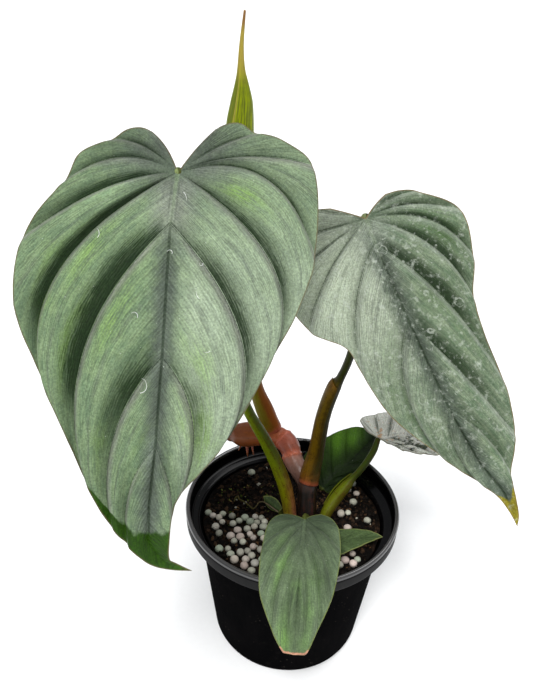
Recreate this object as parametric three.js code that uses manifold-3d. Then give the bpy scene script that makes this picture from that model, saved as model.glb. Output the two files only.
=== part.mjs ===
// Potted philodendron: two large pleated heart leaves, a rolled new leaf and four small leaves
// on a creeping stem, in a thin-walled nursery pot of soil with feed prills.
// Millimetres, +Z up, the middle of the pot's base at the origin, the viewer towards -Y.
import * as THREE from "three";
import { mergeVertices } from "three/addons/utils/BufferGeometryUtils.js";
import Module from "manifold-3d";

const wasm = await Module();
wasm.setup();

// Driving dimensions

const GAP = 0.3; // between pieces that touch
const BLADE_THICKNESS = 0.9;

const POT_HEIGHT = 89;
const POT_RIM_RADIUS = 57.5;
const POT_BODY_TOP_RADIUS = 50.3;
const POT_BASE_RADIUS = 41.3;
const POT_CORNER = 4.4; // height of the rounded corner at the base
const POT_WALL = 1.4;
const POT_FLOOR = 2;
const POT_LIP_HEIGHT = 11;
const POT_SIDES = 40;
const DRAIN_HOLE_RADIUS = 4;
const DRAIN_RING_RADIUS = 29;
const DRAIN_HOLES = 6;

const SOIL_LEVEL = 77.5;
const SOIL_RELIEF = 0.9;
const SOIL_RINGS = 6;
const SOIL_SIDES = 28;
const STEM_DEPTH = 10; // how far a stem goes down into the soil
const HOLE_CLEAR = 0.5; // round a stem in its hole
const PRILL_RADIUS = 1.9;
const PRILL_SEED = 20261;

// Fields of feed prills: middle, half widths and number.
const PRILL_FIELDS = [
  { middle: [-23, -21], half: [9.5, 21], count: 34 },
  { middle: [-41, -18], half: [5, 17], count: 8 },
  { middle: [27, -1], half: [5, 8], count: 4 },
  { middle: [41.5, 0.5], half: [0.5, 0.5], count: 1 },
  { middle: [31, -32], half: [6, 9], count: 6 },
  { middle: [2, 33], half: [32, 9], count: 5 },
  { middle: [34, 20], half: [9, 12], count: 3 },
];

// A leaf lies along the line from its sinus, where the stalk joins, to its tip, and faces one way.
// u runs along that line and v across it. A row is one line across both halves, from the midrib
// out to the margin: its place in the count of main veins, its start on the midrib, and a middle
// point and an end on the margin for each half. Whole numbers are main veins, 0 is the edge of
// the sinus and the last row is the tip. A row with a rib alone is a point. A leaf without right
// halves mirrors its left half.
const LEFT_LEAF = {
  sinus: [-46.6, -60, 288.6],
  tip: [-46, -120, 165.1],
  faces: [0.12, -0.9, 0.44],
  arch: 9,
  droop: 1 / 360,
  fold: 0,
  ridge: 7,
  pleat: 0.17,
  rows: [
    { at: 0, rib: [0, 0], left: [[-8.2, -4.2], [-13.9, -9.8]], right: [[-9, 5.9], [-16.4, 12.2]] },
    { at: 0.35, rib: [0, 0], left: [[-8.6, -6.7], [-15, -14]], right: [[-10, 7.9], [-18.7, 16.8]] },
    { at: 0.7, rib: [0, 0], left: [[-8.8, -9.6], [-13.9, -18.8]], right: [[-10.4, 10.6], [-19, 21.4]] },
    { at: 1, rib: [0, 0], left: [[-8.5, -12.2], [-10.3, -23.4]], right: [[-9.9, 13], [-16.2, 26.5]] },
    { at: 1.5, rib: [0, 0], left: [[-7.2, -16.4], [-4.8, -34]], right: [[-9.2, 18], [-14.5, 35.5]] },
    { at: 2, rib: [0, 0], left: [[-4.2, -19.6], [4.8, -38.6]], right: [[-7.4, 22.5], [-6.6, 47.2]] },
    { at: 3, rib: [0, 0], left: [[7, -24.5], [25, -52]], right: [[-0.4, 30], [26, 49.4]] },
    { at: 3.5, rib: [0, 0], left: [[20.5, -33], [48.5, -53.4]], right: [[14.5, 34], [46, 43.6]] },
    { at: 4, rib: [0, 0], left: [[35.5, -38.3], [73, -43]], right: [[29, 33.5], [61, 36.5]] },
    { at: 4.5, rib: [8, -0.7], left: [[48.5, -34.5], [91, -34.2]], right: [[43, 30], [77, 29]] },
    { at: 5, rib: [18, -1.5], left: [[62, -28.5], [108, -27]], right: [[57, 25], [93, 20.5]] },
    { at: 6, rib: [63, -2], left: [[92, -17.6], [125, -17.5]], right: [[85, 9.5], [111, 6.8]] },
    { at: 7, rib: [94, -3], left: [[111, -11.5], [131, -12]], right: [[108, 2.2], [120, 3.8]] },
    { at: 7.4, rib: [117, -4.5], left: [[126, -8], [136, -7]], right: [[123, 0], [129, 3.2]] },
    { at: 7.7, rib: [131, -4], left: [[135.5, -3.6], [139.8, -2]], right: [[134, 0.3], [136.6, 3.4]] },
    { at: 7.85, rib: [139.4, 3.8], left: [[140.4, 3.7], [141.4, 3.6]], right: [[139, 4.6], [138.3, 5.3]] },
    { at: 8, rib: [141.6, 11.5] },
  ],
};

const RIGHT_LEAF = {
  sinus: [20.9, -38, 267.1],
  tip: [92.2, -75, 152.5],
  faces: [-0.03, -0.96, 0.29],
  arch: 8,
  droop: 0,
  fold: 0.55,
  ridge: 7,
  pleat: 0.16,
  rows: [
    { at: 0, rib: [0, 0], left: [[-4.3, -4.6], [-9.3, -10.6]], right: [[-2.8, 5.2], [-4.5, 10.8]] },
    { at: 0.5, rib: [0, 0], left: [[-5.4, -6.9], [-10.7, -14.2]], right: [[-2.8, 7.8], [-3.2, 16.2]] },
    { at: 1, rib: [0, 0], left: [[-6, -9], [-11.5, -18]], right: [[-2, 10.8], [0.2, 22]] },
    { at: 2, rib: [0, 0], left: [[-2.5, -16], [-5, -32]], right: [[3.2, 17], [14.6, 34.3]] },
    { at: 3, rib: [0, 0], left: [[4.5, -21.5], [11, -43]], right: [[12, 21.5], [33, 31]] },
    { at: 4, rib: [0, 0], left: [[14, -23], [32, -41.5]], right: [[21, 17.8], [47, 24]] },
    { at: 4.6, rib: [5, -0.5], left: [[23, -19.5], [44, -30]], right: [[31, 15.5], [61, 21.5]] },
    { at: 5, rib: [10, -1], left: [[30, -18.5], [56, -29]], right: [[42, 13.5], [81, 20.5]] },
    { at: 5.5, rib: [24, -1.8], left: [[49, -18], [78, -25.7]], right: [[57.5, 10.8], [93, 18.6]] },
    { at: 6, rib: [42, -2.5], left: [[68, -15.5], [99, -15.6]], right: [[72, 7.5], [104, 15.6]] },
    { at: 7, rib: [80, -3.5], left: [[98, -8.5], [116, -6]], right: [[100, 5], [119, 7]] },
    { at: 7.5, rib: [107, -2.2], left: [[116, -2.4], [125, -1.6]], right: [[117, 3.4], [130, 4.4]] },
    { at: 7.8, rib: [125, 1.4], left: [[130, 0.7], [135, -0.2]], right: [[131, 2.6], [138, 2.6]] },
    { at: 8, rib: [143, 0] },
  ],
};

// The front leaf hangs over the rim and its tip is cut off straight.
const FRONT_LEAF = {
  sinus: [6.8, -21, 97],
  tip: [4.6, -83, 71.5],
  faces: [0, -0.4, 0.92],
  arch: 11,
  droop: 1 / 100,
  fold: 0,
  ridge: 3,
  pleat: 0.14,
  rows: [
    { at: 0, rib: [0, 0], left: [[-1.8, -4.8], [-2.8, -9.5]], right: [[-3.6, 4], [-5.8, 8.5]] },
    { at: 1, rib: [0, 0], left: [[0.5, -8], [1, -16.8]], right: [[-0.8, 8], [-0.8, 16]] },
    { at: 2, rib: [0, 0], left: [[8.5, -10.8], [18, -19.7]], right: [[8, 10.4], [17, 19]] },
    { at: 3, rib: [3, 0], left: [[21, -10.4], [42, -18.5]], right: [[20, 9.6], [41, 16.4]] },
    { at: 4, rib: [12, 0], left: [[36, -9], [59.5, -10.2]], right: [[34.5, 8.2], [58, 10]] },
    { at: 4.7, rib: [21, -0.2], left: [[44, -5.6], [66.6, -5]], right: [[43, 5.2], [66.2, 6.4]] },
    { at: 5, rib: [27, -0.3], left: [[47, -3.6], [67.1, -2.8]], right: [[46.5, 3.9], [67, 3.6]] },
    { at: 6, rib: [67.3, 0.4] },
  ],
};

const LOW_LEAF = {
  sinus: [13, -23, 84.5],
  tip: [46.9, -22.7, 90],
  faces: [-0.1, -0.3, 0.95],
  arch: 2.5,
  droop: 1 / 90,
  fold: 0.15,
  ridge: 1.5,
  pleat: 0.12,
  rows: [
    { at: 0, rib: [0, 0], left: [[-1.2, -2.6], [-2, -5.4]], right: [[-1, 2], [-1.6, 4]] },
    { at: 1, rib: [0, -0.3], left: [[2.6, -4.7], [5, -8.7]], right: [[3, 2.6], [6, 5]] },
    { at: 2, rib: [3, -0.9], left: [[9, -5.2], [14.5, -8.5]], right: [[10, 2.2], [16, 4.7]] },
    { at: 3, rib: [13, -1.6], left: [[19, -4], [24, -5]], right: [[19.5, 1.4], [25.5, 3.9]] },
    { at: 4, rib: [23, -1.2], left: [[27, -2], [30.3, -2]], right: [[27.5, 0.9], [31, 2.4]] },
    { at: 5, rib: [34.8, 0.2] },
  ],
};

const SIDE_LEAF = {
  sinus: [44.4, 20, 120.6],
  tip: [93, 48, 104],
  faces: [0.05, -0.25, 1],
  arch: 3,
  droop: 1 / 200,
  fold: 0,
  ridge: 3,
  pleat: 0.12,
  rows: [
    { at: 0, rib: [0, 0], left: [[1.5, -2], [3.2, -4.2]], right: [[-3.2, 3.5], [-5, 8]] },
    { at: 1, rib: [0, 0], left: [[5, -4.6], [10, -10]], right: [[-2.5, 8.5], [-3, 15.5]] },
    { at: 2, rib: [0, 0], left: [[11, -7.2], [20, -13.5]], right: [[4, 9.5], [7.5, 17.6]] },
    { at: 3, rib: [6, 0], left: [[20, -7.8], [32, -14.5]], right: [[14, 10], [20, 18]] },
    { at: 4, rib: [20, 0], left: [[33, -6.5], [44, -10.5]], right: [[30, 9], [38, 14]] },
    { at: 5, rib: [38, 0], left: [[45, -3], [51.5, -5]], right: [[45, 4], [51, 6.5]] },
    { at: 6, rib: [58.8, 0] },
  ],
};

const REAR_LEAF = {
  sinus: [17, 21, 82],
  tip: [46, 46, 103],
  faces: [0, -0.7, 0.7],
  arch: 3,
  droop: 0,
  fold: 0.5,
  ridge: 3,
  pleat: 0.13,
  rows: [
    { at: 0, rib: [0, 0], left: [[-0.4, -2], [0, -4]], right: [[-1, 5.5], [-1.5, 11]] },
    { at: 1, rib: [0, 0], left: [[3, -2.9], [6.5, -5.6]], right: [[2, 10.2], [4, 20]] },
    { at: 2, rib: [0, 0], left: [[8, -4], [14.5, -7.6]], right: [[8, 11.4], [14, 21.4]] },
    { at: 3, rib: [7, 0], left: [[16, -4.8], [24, -8.8]], right: [[17, 10.6], [25.5, 18.9]] },
    { at: 4, rib: [18, 0], left: [[26, -4.6], [33, -7.6]], right: [[27, 8.6], [35.7, 14.6]] },
    { at: 5, rib: [31, 0], left: [[36, -2.5], [39.5, -4.2]], right: [[36.7, 5], [41.9, 9.2]] },
    { at: 6, rib: [44.6, 0] },
  ],
};

const BUD_LEAF = {
  sinus: [-6.6, 0.6, 81],
  tip: [-16, 4.8, 86.6],
  faces: [-0.3, -0.75, 0.6],
  arch: 1,
  droop: 0,
  fold: 0.7,
  ridge: 0.6,
  pleat: 0,
  rows: [
    { at: 0, rib: [0, 0], left: [[-0.2, -0.9], [-0.1, -1.8]], right: [[-0.2, 0.9], [-0.1, 1.8]] },
    { at: 1, rib: [0, 0], left: [[2.4, -1.8], [4.6, -3.3]], right: [[2.4, 1.8], [4.6, 3.3]] },
    { at: 2, rib: [4, 0], left: [[6.6, -1.5], [9, -2.5]], right: [[6.6, 1.5], [9, 2.5]] },
    { at: 3, rib: [12, 0] },
  ],
};

// Leaf stalks: points of the middle line from the soil or the stem upwards, with a radius at each.
// Each ends behind the sinus of its leaf, where its radius is in TIP_RADIUS.
const LEFT_STALK = [
  { at: [-0.6, -3.6, SOIL_LEVEL - STEM_DEPTH], radius: 3.4 },
  { at: [-0.8, -3.6, 82], radius: 3.5 },
  { at: [-4.4, 0.5, 98], radius: 3.8 },
  { at: [-10, 3.4, 112], radius: 3.6 },
  { at: [-15.7, 2.6, 126], radius: 3.2 },
  { at: [-25.4, -5, 152], radius: 2.6 },
  { at: [-34, -22, 195], radius: 2.3 },
  { at: [-42.6, -44, 250], radius: 2.2 },
  { at: [-46.2, -54.8, 279], radius: 2.3 },
];

const RIGHT_STALK = [
  { at: [8, 5.4, 98.6], radius: 5.4 },
  { at: [9.2, 8, 106], radius: 5 },
  { at: [10.4, 9.2, 112], radius: 4.5 },
  { at: [11.2, 8.9, 120], radius: 4 },
  { at: [13, 4.5, 144], radius: 3.6 },
  { at: [16.8, -4, 168], radius: 3.3 },
  { at: [18.8, -6.9, 174.5], radius: 2.1 },
  { at: [22.4, -17, 197], radius: 1.9 },
  { at: [23.2, -27, 235], radius: 2 },
  { at: [21.4, -30.6, 258], radius: 2 },
];

const NEW_STALK = [
  { at: [-13.6, 29, 115], radius: 5.2 },
  { at: [-18.2, 30, 126], radius: 4.9 },
  { at: [-24.1, 31, 142], radius: 3.8 },
  { at: [-29.6, 30, 178], radius: 2.9 },
  { at: [-32.6, 28, 208], radius: 2.5 },
];

const FRONT_STALK = [
  { at: [8.2, -9.8, SOIL_LEVEL - STEM_DEPTH], radius: 2 },
  { at: [8.2, -9.8, 82], radius: 2 },
  { at: [7.6, -12.6, 90], radius: 1.8 },
  { at: [7, -17.2, 94.4], radius: 1.5 },
];

const LOW_STALK = [
  { at: [12, -18.5, SOIL_LEVEL - STEM_DEPTH], radius: 1.5 },
  { at: [12, -18.5, 79.5], radius: 1.5 },
  { at: [11.6, -20.6, 82.2], radius: 1.3 },
];

const SIDE_STALK = [
  { at: [18.6, 0.6, SOIL_LEVEL - STEM_DEPTH], radius: 3 },
  { at: [18.6, 0.8, 80.5], radius: 3.1 },
  { at: [23, 6, 87], radius: 3.4 },
  { at: [28.7, 10, 94], radius: 3 },
  { at: [32.2, 12, 98.4], radius: 1.9 },
  { at: [37, 13.8, 105], radius: 1.8 },
  { at: [42, 17, 114], radius: 1.8 },
];

const REAR_STALK = [
  { at: [16.4, 24.6, SOIL_LEVEL - STEM_DEPTH], radius: 1.7 },
  { at: [16.4, 24.4, 79.6], radius: 1.7 },
];

const BUD_STALK = [
  { at: [-6.2, 2.4, SOIL_LEVEL - STEM_DEPTH], radius: 1.2 },
  { at: [-6.2, 2.4, 78.4], radius: 1.2 },
];

const TIP_RADIUS = { left: 2, right: 1.8, front: 1.3, low: 1, side: 1.5, rear: 1.2, bud: 0.9 };

// The creeping stem: an upright joint out of the soil, then joints that lie back to the left.
// A node is the ring where a leaf was joined.
const STEM = [
  { at: [8.3, -0.6, SOIL_LEVEL - STEM_DEPTH], radius: 5.2 },
  { at: [8.2, -0.6, 78], radius: 5.2 },
  { at: [7.6, 3.4, 88], radius: 5 },
  { at: [7.2, 7, 95.5], radius: 5.1 },
  { at: [4.2, 11.4, 98.8], radius: 5 },
  { at: [-0.8, 17.2, 103.4], radius: 5.3 },
  { at: [-3, 21.8, 107.2], radius: 5.6 },
  { at: [-5, 24.4, 109.2], radius: 5.9 },
  { at: [-8.5, 27, 110.6], radius: 5.7 },
  { at: [-14, 29, 110.8], radius: 5.9 },
  { at: [-21, 30, 109.8], radius: 6.2 },
  { at: [-28, 30.8, 108.6], radius: 7 },
  { at: [-33.5, 31.2, 107.6], radius: 6 },
  { at: [-37, 31.4, 106.6], radius: 3.6 },
];

// Aerial roots on the underside of the stem: start, end and radius at the start.
const AERIAL_ROOTS = [
  { from: [-28, 30, 106], to: [-27, 26, 95.5], radius: 1.3 },
  { from: [-25, 29, 106], to: [-23.6, 25.4, 98], radius: 1 },
  { from: [-31, 30, 105], to: [-32.3, 27.6, 98.6], radius: 0.9 },
];

// The new leaf is still rolled round its own midrib, one margin lapped over the other.
const NEW_LEAF = [
  { at: [-32.8, 27.9, 210.9], radius: 1.7 },
  { at: [-34, 26.4, 221], radius: 3.2 },
  { at: [-34.8, 25, 240], radius: 6 },
  { at: [-34.6, 24.6, 264], radius: 7.4 },
  { at: [-34, 24.2, 284], radius: 6.6 },
  { at: [-33.4, 24, 294], radius: 5.3 },
  { at: [-33.4, 23.8, 301], radius: 3.6 },
  { at: [-33.7, 23.6, 308], radius: 2 },
  { at: [-33.6, 23.4, 317], radius: 1.2 },
  { at: [-32.4, 23.2, 330.5], radius: 0.6 },
];
const LAP = 0.8; // step where one margin lies on the other
const LAP_ANGLE = -1.2; // direction of that step, round from +X

// Numbers along a list

// A smooth value at x through the values at the knots: cubic, with the slope at each knot taken
// from its neighbours. A level stretch stays level where that is asked for.
function through(knots, values, x, keepLevel = false) {
  const last = knots.length - 1;
  let i = 0;
  while (i < last - 1 && x > knots[i + 1]) i += 1;
  const slope = (k) => {
    const a = Math.max(k - 1, 0);
    const b = Math.min(k + 1, last);
    if (keepLevel && (values[k] === values[a]) !== (k === a)) return 0;
    return (values[b] - values[a]) / (knots[b] - knots[a]);
  };
  const width = knots[i + 1] - knots[i];
  const t = (x - knots[i]) / width;
  const rise = values[i + 1] - values[i];
  const bend0 = slope(i) * width - rise;
  const bend1 = rise - slope(i + 1) * width;
  return values[i] + rise * t + t * (1 - t) * (bend0 * (1 - t) + bend1 * t);
}

// Numbers between 0 and 1 from a seed, by repeated multiplication modulo a prime.
function randomFrom(seed) {
  let state = seed;
  return () => {
    state = (state * 16807) % 2147483647;
    return state / 2147483647;
  };
}

// Closed surfaces

// Geometry of points and triangles, turned round if its faces point inwards.
function closedGeometry(points, triangles) {
  let volume = 0;
  for (const [a, b, c] of triangles) {
    volume += points[a].dot(new THREE.Vector3().crossVectors(points[b], points[c])) / 6;
  }
  const facing = volume > 0 ? triangles : triangles.map(([a, b, c]) => [a, c, b]);
  const geometry = new THREE.BufferGeometry();
  geometry.setFromPoints(points);
  geometry.setIndex(facing.flat());
  return geometry;
}

// Rings of points, all with the same number, joined in turn and closed at both ends.
function loft(rings) {
  const sides = rings[0].length;
  const points = rings.flat();
  const triangles = [];
  for (let r = 0; r < rings.length - 1; r += 1) {
    for (let s = 0; s < sides; s += 1) {
      const a = r * sides + s;
      const b = r * sides + ((s + 1) % sides);
      triangles.push([a, b, b + sides], [a, b + sides, a + sides]);
    }
  }
  for (const [ring, turn] of [[0, true], [rings.length - 1, false]]) {
    const middle = new THREE.Vector3();
    rings[ring].forEach((p) => middle.addScaledVector(p, 1 / sides));
    points.push(middle);
    for (let s = 0; s < sides; s += 1) {
      const a = ring * sides + s;
      const b = ring * sides + ((s + 1) % sides);
      triangles.push(turn ? [points.length - 1, b, a] : [points.length - 1, a, b]);
    }
  }
  return closedGeometry(points, triangles);
}

// A curve through stations, with its radius, sampled at equal steps.
function sampled(stations, steps) {
  const middles = stations.map((s) => new THREE.Vector3(...s.at));
  const curve = new THREE.CatmullRomCurve3(middles, false, "centripetal");
  const knots = stations.map((_, i) => i / (stations.length - 1));
  const radii = stations.map((s) => s.radius);
  return Array.from({ length: steps + 1 }, (_, i) => {
    const t = i / steps;
    return { point: curve.getPoint(t), along: curve.getTangent(t), radius: through(knots, radii, t) };
  });
}

// Stations of a rooted stem, with one more under the first bend so that it is straight in the soil.
function rooted(stations) {
  const [{ at: [x, y, z], radius }, ...rest] = stations;
  return [stations[0], { at: [x, y, z + 0.55 * STEM_DEPTH], radius }, ...rest];
}

// A round stem along stations, with a domed top of the radius that it ends with. It has so many
// facets round and so many steps along.
function stem(stations, sides, steps) {
  const samples = sampled(stations, steps);
  const end = samples[samples.length - 1];
  for (const angle of [Math.PI / 5, Math.PI / 2.4]) {
    samples.push({
      point: end.point.clone().addScaledVector(end.along, end.radius * Math.sin(angle)),
      along: end.along,
      radius: end.radius * Math.cos(angle),
    });
  }
  let across = new THREE.Vector3(1, 0, 0);
  const rings = samples.map(({ point, along, radius }) => {
    across = across.clone().addScaledVector(along, -across.dot(along)).normalize();
    const third = new THREE.Vector3().crossVectors(along, across);
    return Array.from({ length: sides }, (_, s) => {
      const angle = (2 * Math.PI * s) / sides;
      return point
        .clone()
        .addScaledVector(across, radius * Math.cos(angle))
        .addScaledVector(third, radius * Math.sin(angle));
    });
  });
  return loft(rings);
}

// A solid of revolution about Z from a closed outline of radius and height pairs.
function revolved(outline, sides) {
  const closed = [...outline, outline[0]];
  const geometry = new THREE.LatheGeometry(closed.map(([r, z]) => new THREE.Vector2(r, z)), sides);
  geometry.rotateX(Math.PI / 2);
  return toGeometry(toSolid(geometry));
}

// Joining and cutting

function toSolid(geometry) {
  const bare = geometry.clone();
  bare.deleteAttribute("normal");
  bare.deleteAttribute("uv");
  const merged = mergeVertices(bare, 1e-4);
  const vertProperties = new Float32Array(merged.attributes.position.array);
  const triVerts = new Uint32Array(merged.index.array);
  const solid = new wasm.Manifold(new wasm.Mesh({ numProp: 3, vertProperties, triVerts }));
  if (solid.volume() > 0) return solid;
  for (let i = 0; i < triVerts.length; i += 3) {
    [triVerts[i + 1], triVerts[i + 2]] = [triVerts[i + 2], triVerts[i + 1]];
  }
  return new wasm.Manifold(new wasm.Mesh({ numProp: 3, vertProperties, triVerts }));
}

function toGeometry(solid) {
  const mesh = solid.getMesh();
  const geometry = new THREE.BufferGeometry();
  geometry.setAttribute("position", new THREE.BufferAttribute(mesh.vertProperties, 3));
  geometry.setIndex(new THREE.BufferAttribute(mesh.triVerts, 1));
  return geometry;
}

// Leaf blades

// Samples between two main veins, and from midrib to margin, of a large and of a small blade.
const LARGE = { pleat: [0, 0.13, 0.3, 0.55, 0.8], across: [0, 0.1, 0.24, 0.42, 0.62, 0.82, 1] };
const SMALL = { pleat: [0, 0.28, 0.64], across: [0, 0.2, 0.48, 0.76, 1] };
const PLEAT_SKEW = 0.65; // the crest lies close after the vein
const WIDEST_PLEAT = 24;
const RIB_CLEAR = 6; // distance from the midrib over which a pleat rises
const STEEPEST = 0.6; // cosine of the steepest slope that the thickness makes up for

// The point (u, v) of one half at a place in the vein count and a part of the way to the margin.
function onHalf(leaf, half, at, part) {
  const knots = leaf.rows.map((row) => row.at);
  const mirrored = half === "right" && !leaf.rows[0].right;
  const side = mirrored ? "left" : half;
  const weights = [(2 * part - 1) * (part - 1), 4 * part * (1 - part), part * (2 * part - 1)];
  return [0, 1].map((axis) => {
    const flip = mirrored && axis === 1 ? -1 : 1;
    const rib = through(knots, leaf.rows.map((row) => row.rib[axis]), at, true);
    const [middle, end] = [0, 1].map((k) =>
      through(knots, leaf.rows.map((row) => (row[side] ? row[side][k] : row.rib)[axis] * flip), at),
    );
    return rib * weights[0] + middle * weights[1] + end * weights[2];
  });
}

// Height of the pleats: each rises sharply after a vein and falls slowly to the next one.
function pleatHeight(leaf, half, at, part) {
  const last = leaf.rows[leaf.rows.length - 1].at;
  const vein = Math.min(Math.floor(at), last - 1);
  const [u0, v0] = onHalf(leaf, half, vein, part);
  const [u1, v1] = onHalf(leaf, half, vein + 1, part);
  const width = Math.min(Math.hypot(u1 - u0, v1 - v0), WIDEST_PLEAT);
  const [ribU, ribV] = onHalf(leaf, half, at, 0);
  const [u, v] = onHalf(leaf, half, at, part);
  const out = Math.hypot(u - ribU, v - ribV);
  const wave = Math.sin(Math.PI * Math.pow(at - vein, PLEAT_SKEW));
  return leaf.pleat * width * wave * (out / (out + RIB_CLEAR)) * (1 - 0.35 * part ** 4);
}

function leafFrame(leaf) {
  const sinus = new THREE.Vector3(...leaf.sinus);
  const along = new THREE.Vector3(...leaf.tip).sub(sinus);
  const length = along.length();
  along.normalize();
  const out = new THREE.Vector3(...leaf.faces);
  out.addScaledVector(along, -out.dot(along)).normalize();
  const across = new THREE.Vector3().crossVectors(out, along);
  return { sinus, along, across, out, length };
}

// Rise of the blade's middle surface off the flat: an arch along, a droop and a fold across.
function rise(leaf, length, u, v) {
  const part = u / length;
  return leaf.arch * 4 * part * (1 - part) - leaf.droop * v * v - leaf.fold * Math.hypot(v, leaf.ridge);
}

// Half the thickness measured the way the leaf faces: more where the surface slopes, so that the
// blade keeps its thickness across the slope.
function halfThickness(middle, triangles, out) {
  const normals = middle.map(() => new THREE.Vector3());
  for (const [a, b, c] of triangles) {
    const ab = middle[b].clone().sub(middle[a]);
    const ac = middle[c].clone().sub(middle[a]);
    const normal = ab.cross(ac);
    [a, b, c].forEach((corner) => normals[corner].add(normal));
  }
  return normals.map((normal) => {
    const facing = Math.abs(normal.normalize().dot(out));
    return BLADE_THICKNESS / 2 / Math.max(facing, STEEPEST);
  });
}

// A blade is its middle surface moved half its thickness to each side. Both faces have the same
// triangles, and a strip round the rim joins them.
function bladeGeometry(leaf, samples) {
  const { sinus, along, across, out, length } = leafFrame(leaf);
  const last = leaf.rows[leaf.rows.length - 1].at;
  const stations = [];
  for (let vein = 0; vein < last; vein += 1) {
    samples.pleat.forEach((step) => stations.push(vein + step));
  }
  stations.push(last);
  const middle = [];
  const index = new Map();
  const vertex = (half, at, part) => {
    const [u, v] = onHalf(leaf, half, at, part);
    const key = u.toFixed(3) + " " + v.toFixed(3);
    if (!index.has(key)) {
      const height = rise(leaf, length, u, v) + pleatHeight(leaf, half, at, part);
      index.set(key, middle.length);
      middle.push(
        sinus.clone().addScaledVector(along, u).addScaledVector(across, v).addScaledVector(out, height),
      );
    }
    return index.get(key);
  };
  const upper = [];
  const keep = (a, b, c) => {
    if (a !== b && b !== c && c !== a) upper.push([a, b, c]);
  };
  for (const half of ["left", "right"]) {
    for (let i = 0; i < stations.length - 1; i += 1) {
      for (let j = 0; j < samples.across.length - 1; j += 1) {
        const [near, far] = [samples.across[j], samples.across[j + 1]];
        const a = vertex(half, stations[i], near);
        const b = vertex(half, stations[i], far);
        const c = vertex(half, stations[i + 1], far);
        const d = vertex(half, stations[i + 1], near);
        if (half === "left") {
          keep(a, d, c);
          keep(a, c, b);
        } else {
          keep(a, b, c);
          keep(a, c, d);
        }
      }
    }
  }
  const count = middle.length;
  const halves = halfThickness(middle, upper, out);
  const points = [
    ...middle.map((p, i) => p.clone().addScaledVector(out, halves[i])),
    ...middle.map((p, i) => p.clone().addScaledVector(out, -halves[i])),
  ];
  const edges = new Set(upper.flatMap(([a, b, c]) => [`${a} ${b}`, `${b} ${c}`, `${c} ${a}`]));
  const triangles = [...upper, ...upper.map(([a, b, c]) => [a + count, c + count, b + count])];
  for (const edge of edges) {
    const [a, b] = edge.split(" ").map(Number);
    if (!edges.has(`${b} ${a}`)) triangles.push([b, a, a + count], [b, a + count, b + count]);
  }
  return closedGeometry(points, triangles);
}

// Just behind the sinus of a leaf, where the top of its stalk stops.
function seatBehind(leaf, radius) {
  const { sinus, out, length } = leafFrame(leaf);
  const back = rise(leaf, length, 0, 0) - BLADE_THICKNESS / 2 - GAP - radius * 1.15;
  return sinus.clone().addScaledVector(out, back).toArray();
}

// The stalk's own stations, then its seat behind the sinus, with the tip radius there.
function stalkTo(leaf, stations, tipRadius) {
  return [...stations, { at: seatBehind(leaf, tipRadius), radius: tipRadius }];
}

// The pot

function potGeometry() {
  const lipFoot = POT_HEIGHT - POT_LIP_HEIGHT;
  const outline = [
    [0, 0],
    [POT_BASE_RADIUS - 4.6, 0],
    [POT_BASE_RADIUS - 1.5, 0.9],
    [POT_BASE_RADIUS, POT_CORNER],
    [POT_BODY_TOP_RADIUS, lipFoot - 2],
    [POT_BODY_TOP_RADIUS + 1.4, lipFoot],
    [POT_RIM_RADIUS - 1.6, lipFoot + 0.8],
    [POT_RIM_RADIUS - 0.4, lipFoot + 2],
    [POT_RIM_RADIUS - 0.2, POT_HEIGHT - 3.6],
    [POT_RIM_RADIUS - 0.7, POT_HEIGHT - 3],
    [POT_RIM_RADIUS, POT_HEIGHT - 2.2],
    [POT_RIM_RADIUS, POT_HEIGHT - 1],
    [POT_RIM_RADIUS - 0.8, POT_HEIGHT],
    [POT_RIM_RADIUS - 2.2, POT_HEIGHT - 0.3],
    [POT_RIM_RADIUS - 2.6, POT_HEIGHT - 1.6],
    [POT_RIM_RADIUS - 2.7, lipFoot + 3.4],
    [POT_RIM_RADIUS - 3.4, lipFoot + 2.4],
    [POT_BODY_TOP_RADIUS - 0.2, lipFoot + 1.6],
    [POT_BODY_TOP_RADIUS - POT_WALL, lipFoot - 0.4],
    [POT_BASE_RADIUS - POT_WALL, POT_CORNER + 0.4],
    [POT_BASE_RADIUS - POT_WALL - 2.4, POT_FLOOR],
    [0, POT_FLOOR],
  ];
  let pot = toSolid(revolved(outline, POT_SIDES));
  for (let i = 0; i < DRAIN_HOLES; i += 1) {
    const angle = (2 * Math.PI * i) / DRAIN_HOLES;
    const hole = new THREE.CylinderGeometry(DRAIN_HOLE_RADIUS, DRAIN_HOLE_RADIUS, 3 * POT_FLOOR, 10);
    hole.rotateX(Math.PI / 2);
    hole.translate(DRAIN_RING_RADIUS, 0, POT_FLOOR / 2);
    hole.rotateZ(angle);
    pot = pot.subtract(toSolid(hole));
  }
  return toGeometry(pot);
}

// The soil

// Height of the soil at a place: low mounds from two pairs of crossed waves.
function soilHeight(x, y) {
  const broad = Math.sin(x / 6.1 + 0.8) * Math.cos(y / 7.3);
  const small = Math.sin((x + y) / 4.3) * Math.cos((x - y) / 5.9 + 1);
  return SOIL_LEVEL + SOIL_RELIEF * (0.6 * broad + 0.42 * small);
}

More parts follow.
